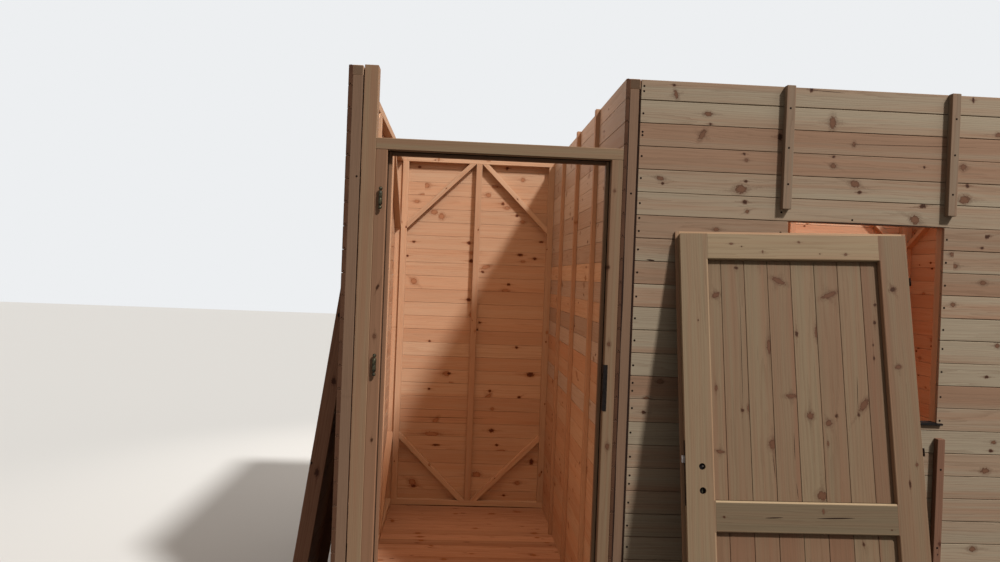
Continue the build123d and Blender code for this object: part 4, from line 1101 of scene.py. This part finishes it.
# Seal in the rebate's corner, up both jambs and under the head
sealWide, sealDeep = doorFrame["seal"]
sealFoot, sealTop, sealBack = sillHigh[2], headFoot - sealWide, jambLow[1] + rebate
sealProfile = chamferedProfile(sealWide, sealDeep, doorFrame["sealArris"])
sealShapes = [plainBar(np.array([edge, sealBack - sealDeep, sealFoot]), np.array([unitZ, unitX, unitY]),
                       sealTop - sealFoot, sealProfile)
              for edge in (jambLow[0] + face, jambHigh[0] - face - sealWide)]
sealShapes.append(plainBar(np.array([jambLow[0] + face, sealBack, sealTop]), np.array([unitX, unitZ, -unitY]),
                           jambHigh[0] - jambLow[0] - 2 * face, sealProfile))
plainPiece("door_seal", sealShapes, skins["sealRubber"], [])

# Nails: one through each board into each stud, now and then two, and a row down each batten
nailLook = {"radius": 4.3 * mm, "height": 0.9 * mm, "aside": -9 * mm, "scatter": 4 * mm, "pairs": 0.16,
            "pairRises": (-12 * mm, 14 * mm), "fromBatten": 4 * mm, "pastStud": 50 * mm,
            "firstOnBatten": 95 * mm, "lastOnBatten": 30 * mm, "battenStep": 150 * mm,
            "battenScatter": (1.5 * mm, 8 * mm)}
# Those the photo shows on the front panel: x, then z of each
nailColumns = {-0.647: (2.499, 2.479, 2.392, 2.320, 2.307, 2.225, 2.139, 2.041, 1.983, 1.932, 1.86, 1.77),
               0.594: (1.948, 1.856, 1.765, 1.676, 1.588, 1.512, 1.420, 1.320, 1.225, 1.14, 1.05),
               0.205: (2.010,), -0.683: (2.077,), -1.749: (2.097,)}


def boardNails(wall, normal, outward, battens, clear=lambda x, z: False):
    low, high = boxOf(wall + "_boards")
    joints = boardJoints(high[2] - low[2])
    spots = []
    for stud in looseSolids(wall + "_studs"):
        studLow, studHigh = stud.min(0), stud.max(0)
        for top, foot in zip(joints, joints[1:]):
            for rise in nailLook["pairRises"] if draws.random() < nailLook["pairs"] else (0.0,):
                spot = (studLow + studHigh) / 2 + nailLook["aside"]
                spot[normal] = high[normal] if outward > 0 else low[normal]
                spot[1 - normal] += draws.normal(0, 0.3 * nailLook["scatter"])
                spot[2] = low[2] + (top + foot) / 2 + rise + draws.normal(0, nailLook["scatter"])
                onStud = studLow[2] - nailLook["pastStud"] < spot[2] < studHigh[2] + nailLook["pastStud"]
                hidden = any((spot > batten.min(0) - nailLook["fromBatten"]).all()
                             and (spot < batten.max(0) + nailLook["fromBatten"]).all() for batten in battens)
                if onStud and not hidden and not clear(spot[1 - normal], spot[2]):
                    spots.append(spot)
    return spots


def battenNails(battens, normal, outward):
    spots = []
    sideways, lengthways = nailLook["battenScatter"]
    for batten in battens:
        low, high = batten.min(0), batten.max(0)
        first, step = nailLook["firstOnBatten"], nailLook["battenStep"]
        if belowHole(batten):
            first, step = lowBatten["firstNail"], lowBatten["nailStep"]
        for z in np.arange(high[2] - first, low[2] + nailLook["lastOnBatten"], -step):
            spot = (low + high) / 2 + draws.normal(0, sideways, 3)
            spot[normal] = high[normal] if outward > 0 else low[normal]
            spot[2] = z + draws.normal(0, lengthways)
            spots.append(spot)
    return spots


def nailHeads(spots, outward):
    # Low eight-sided domes: point (n, i, j) = spot_n + radius_i (cos t_j u + sin t_j v) + height_i outward
    rings = np.array([(1.0, -0.4), (1.0, 0.25), (0.75, 0.8), (0.3, 1.0)])
    rings *= (nailLook["radius"], nailLook["height"])
    points, faces = turnedShape(rings, np.zeros(3), [np.cross(unitZ, outward), unitZ, outward], 8)
    shift = np.arange(len(spots))[:, None, None] * len(points)
    quads, caps = np.array(faces[:-2]) + shift, np.array(faces[-2:]) + shift
    spread = np.array(spots)[:, None] + points
    return spread.reshape(-1, 3), quads.reshape(-1, 4).tolist() + caps.reshape(-1, 8).tolist()


def shownByPhoto(x, z):
    # The stretches of the front panel whose nails are placed one by one
    return x < -0.6 and z > 1.7 or 0.55 < x < 0.65 and z > 1.0


outerBattens = looseSolids("outer_battens")
rightBattens = [batten for batten in outerBattens if np.ptp(batten[:, 0]) < np.ptp(batten[:, 1])]
backBattens = [batten for batten in outerBattens if np.ptp(batten[:, 0]) > np.ptp(batten[:, 1])]
frontSpots = [np.array([x, frontLow[1], z]) for x, column in nailColumns.items() for z in column]
frontSpots += boardNails("front_wall", 1, -1, frontBattens, shownByPhoto) + battenNails(frontBattens, 1, -1)
backSpots = boardNails("annex_back", 1, 1, []) + boardNails("main_back", 1, 1, backBattens)
backSpots += battenNails(backBattens, 1, 1)
rightSpots = boardNails("right_wall", 0, 1, rightBattens) + battenNails(rightBattens, 0, 1)
leftSpots = boardNails("left_wall", 0, -1, [])
nailShapes = [nailHeads(spots, outward) for spots, outward in (
    (frontSpots, -unitY), (backSpots, unitY), (rightSpots, unitX), (leftSpots, -unitX))]
plainPiece("nail_heads", nailShapes, skins["rustedNail"], [])


def paintedShadeBar(start, end, half, outward):
    # Painted shade for a drying check or a gap: a lens whose half height is half sin(pi x / length) ^ 0.7,
    # a hair proud of the face
    start, end = np.array(start, float), np.array(end, float)
    length = np.linalg.norm(end - start)
    along = (end - start) / length
    profile = np.array([(-half, -0.4 * mm), (half, -0.4 * mm), (half, 0.15 * mm), (-half, 0.15 * mm)])

    def profileAt(steps):
        swell = np.sin(math.pi * np.clip(steps / length, 0.01, 0.99)) ** 0.7
        return np.stack([swell[:, None] * profile[:, 0], np.broadcast_to(profile[:, 1], (len(steps), 4))], -1)

    return dict(origin=start, axes=np.array([along, np.cross(outward, along), outward]), length=length,
                profile=profile, profileAt=profileAt, arris=0.02 * mm, pitch=length / 12, waver=0.04 * mm,
                tone=(0.0, 0.0))


# Checks in the leaf's boards and in its mid rail, drawn as painted shade: (across, up) of both ends, half
# height in mm
panelChecks = (((0.227, 1.704), (0.223, 1.308), 0.9), ((0.407, 1.206), (0.406, 1.105), 1.0),
               ((0.653, 1.421), (0.649, 1.302), 0.9), ((0.407, 1.026), (0.411, 0.966), 0.9),
               ((0.326, 1.125), (0.331, 1.042), 0.9))
railChecks = (((0.28, 0.901), (0.346, 0.904), 2.0), ((0.466, 0.903), (0.603, 0.907), 2.4))
boardDepth = reach(leafSolids, leafAxes)[1][2] - leafLow[2]
leafCheckShades = [paintedShadeBar(inLeaf(*start, depth), inLeaf(*end, depth), half * mm, leafAxes[2])
              for checks, depth in ((panelChecks, boardDepth), (railChecks, leafThick))
              for start, end, half in checks]
woodPiece("leaf_check_shades", leafCheckShades, [wood["checkShadow"]], [])

# Painted shade in the walls, dark strips where checks and gaps lie in shadow: (x, y, z) of both ends, half
# width in mm.
# First the front panel's checks and the painted shadow under the board over the hole
shadowLook = {"pastHole": 20 * mm, "aboveHole": 2.2 * mm, "intoGap": 2 * mm, "underTop": 4 * mm,
              "overFloor": 3 * mm}
frontY, lintelZ = frontLow[1], holeTop + shadowLook["aboveHole"]
strips = [((0.2, frontY, 2.31), (0.703, frontY, 2.321), 0.9),
          ((0.017, frontY, 2.516), (0.155, frontY, 2.511), 0.9),
          ((-0.612, frontY, 1.8215), (-0.58, frontY, 1.819), 2.6),
          ((holeLeft - shadowLook["pastHole"], frontY, lintelZ),
           (holeRight + shadowLook["pastHole"], frontY, lintelZ), 2.4)]
# Checks in the narrow room's back wall
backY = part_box("annex_back_boards")[0][1]
strips += [((-1.699, backY, 0.77), (-1.105, backY, 0.774), 1.4),
           ((-1.004, backY, 0.78), (-0.95, backY, 0.78), 1.2)]
# Shadow gap between the partition's board ends and its stud, and, a little way in, one between that stud and
# the front panel
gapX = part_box("partition_boards")[1][0]
strips += [((gapX, frontY, foot), (gapX, frontY, top), half)
           for foot, top, half in ((0.5, 1.1, 3.2), (1.04, 1.5, 2.4), (1.45, 1.92, 3.6), (1.86, 2.47, 2.2))]
endX, endY = frontLow[0] - framing["frontGap"] / 2, frontY + shadowLook["intoGap"]
strips.append(((endX, endY, frontLow[2]), (endX, endY, frontHigh[2] - shadowLook["underTop"]),
               framing["frontGap"] / 2 / mm))
# Shadow gap between the floor and the foot of the back wall
plateLow, plateHigh = boxOf("annex_back_plates")
footZ = floorHigh[2] + shadowLook["overFloor"]
strips.append(((plateLow[0], plateLow[1], footZ), (plateHigh[0], plateLow[1], footZ), 3.0))
wallShadeStrips = [paintedShadeBar(start, end, half * mm, -unitY) for start, end, half in strips]
woodPiece("wall_shade_strips", wallShadeStrips, [wood["checkShadow"]], [])
print("metalwork done")

cameraLook = {"place": (-1.34695, -4.39730, 1.72727), "yaw": -0.0514017, "pitch": -0.0035704,
              "roll": 0.0382541, "focalPixels": 825.64, "imageWidth": 1000, "sensor": 36.0}
yaw, pitch, roll = (cameraLook[key] for key in ("yaw", "pitch", "roll"))
forward = Vector((-math.sin(yaw), math.cos(yaw), 0.0))
right = Vector((math.cos(yaw), math.sin(yaw), 0.0))
up = Vector((0.0, 0.0, 1.0))
forward, up = (forward * math.cos(pitch) + up * math.sin(pitch),
               up * math.cos(pitch) - forward * math.sin(pitch))
right, up = right * math.cos(roll) + up * math.sin(roll), up * math.cos(roll) - right * math.sin(roll)
lens = bpy.data.cameras.new("photoView")
lens.sensor_width = cameraLook["sensor"]
lens.lens = cameraLook["sensor"] * cameraLook["focalPixels"] / cameraLook["imageWidth"]
lens.clip_end = 200.0
camera = bpy.data.objects.new("photoView", lens)
turn = Matrix((right, up, -forward)).transposed()
camera.matrix_world = Matrix.Translation(cameraLook["place"]) @ turn.to_4x4()
scene.collection.objects.link(camera)
scene.camera = camera

stageLook = {"floor": "#D9D7D2", "bounce": "#4C4A46", "sky": "#EDEFF1", "skylight": "#EBE1DB",
             "skyStrength": 0.3, "floorSize": 60.0, "sunWay": (0.72, -1.0, 1.28), "sunStrength": 3.44,
             "sunAngle": 5.5}
half = stageLook["floorSize"] / 2
floorMesh = bpy.data.meshes.new("studioFloor")
floorCorners = [(-half, -half, 0), (half, -half, 0), (half, half, 0), (-half, half, 0)]
floorMesh.from_pydata(floorCorners, [], [(0, 1, 2, 3)])
studioFloor = bpy.data.objects.new("studioFloor", floorMesh)
scene.collection.objects.link(studioFloor)


def seenOrLit(tree, seen, lit):
    # Share: 1 for rays that show a surface to the viewer, straight, mirrored or through glass; 0 for those
    # that light others. Colour: lit + share (seen - lit)
    rays = addNode(tree, "LightPath").node.outputs
    share = addNode(tree, "Math", [rays["Is Camera Ray"], rays["Is Glossy Ray"]], operation="MAXIMUM")
    share = addNode(tree, "Math", [share, rays["Is Transmission Ray"]], operation="MAXIMUM")
    return share, addNode(tree, "Mix", {0: share, 6: linear(lit), 7: linear(seen)}, data_type="RGBA")


floorPaint, tree, shader = emptyMaterial("paleFloorPaint")
share, colour = seenOrLit(tree, stageLook["floor"], stageLook["bounce"])
tree.links.new(colour, shader.inputs["Base Color"])
shader.inputs["Roughness"].default_value = 0.9
floorMesh.materials.append(floorPaint)

world = bpy.data.worlds.new("studioSky")
scene.world = world
world.use_nodes = True
tree = world.node_tree
share, colour = seenOrLit(tree, stageLook["sky"], stageLook["skylight"])
strength = addNode(tree, "MapRange", {0: share, 3: stageLook["skyStrength"], 4: 1.0})
backdrop = tree.nodes["Background"]
tree.links.new(colour, backdrop.inputs["Color"])
tree.links.new(strength, backdrop.inputs["Strength"])


def addLamp(name, kind, strength, way, place=(0, 0, 0)):
    # A lamp that shines against the given way
    light = bpy.data.lights.new(name, kind)
    light.energy = strength
    lamp = bpy.data.objects.new(name, light)
    lamp.location = place
    lamp.rotation_euler = Vector(way).to_track_quat("Z", "Y").to_euler()
    scene.collection.objects.link(lamp)
    return lamp


def softbox(name, place, aim, size, watts, tint="#FFFFFF", spread=180.0):
    # Square or oblong panel of light that the camera doesn't see
    lamp = addLamp(name, "AREA", watts, Vector(place) - Vector(aim), place)
    lamp.visible_camera = False
    lamp.data.shape = "RECTANGLE"
    lamp.data.size, lamp.data.size_y = size
    lamp.data.color = linear(tint)[:3]
    lamp.data.spread = math.radians(spread)


sun = addLamp("softKey", "SUN", stageLook["sunStrength"], stageLook["sunWay"])
sun.data.angle = math.radians(stageLook["sunAngle"])
# A key box beside the sun, so that walls fall off gently downwards, and a warm card in the open doorway
cardLook = {"behindDoor": 30 * mm, "doorInset": (140 * mm, 100 * mm), "behindHole": 60 * mm}
softbox("keyBox", (1.9, -2.1, 4.2), (0.4, 0.0, 1.7), (1.2, 1.2), 26.0)
doorX, doorY, doorZ = (jambLow + jambHigh) / 2
doorSize = (jambHigh - jambLow)[[0, 2]] - cardLook["doorInset"]
softbox("doorwayCard", (doorX, doorY + cardLook["behindDoor"], doorZ), (doorX, doorY + 1.0, doorZ), doorSize,
        3.0, "#FFC898", 120.0)
# A warm card above the narrow room and one in the window hole, for the light that the boards pass on
roomLow, roomHigh = boxOf("annex_back_boards")
roomX = (roomLow[0] + roomHigh[0]) / 2
softbox("roomCard", (roomX, 0.0, 3.5), (roomX, 0.0, 1.0), (0.9, 2.0), 10.0, "#FFD6B0", 110.0)
holeX, holeZ = (holeLeft + holeRight) / 2, (holeFoot + holeTop) / 2
softbox("windowCard", (holeX, frontHigh[1] + cardLook["behindHole"], holeZ), (holeX, 1.0, holeZ), (0.5, 0.7),
        12.5, "#FF9660", 140.0)
# A weak box behind the house, so that its shaded walls keep their grain
softbox("backFill", (-3.4, 5.4, 3.2), (-0.6, 1.4, 1.0), (2.4, 1.8), 34.0, "#FFF6EE", 110.0)
print("stage, camera and light done")
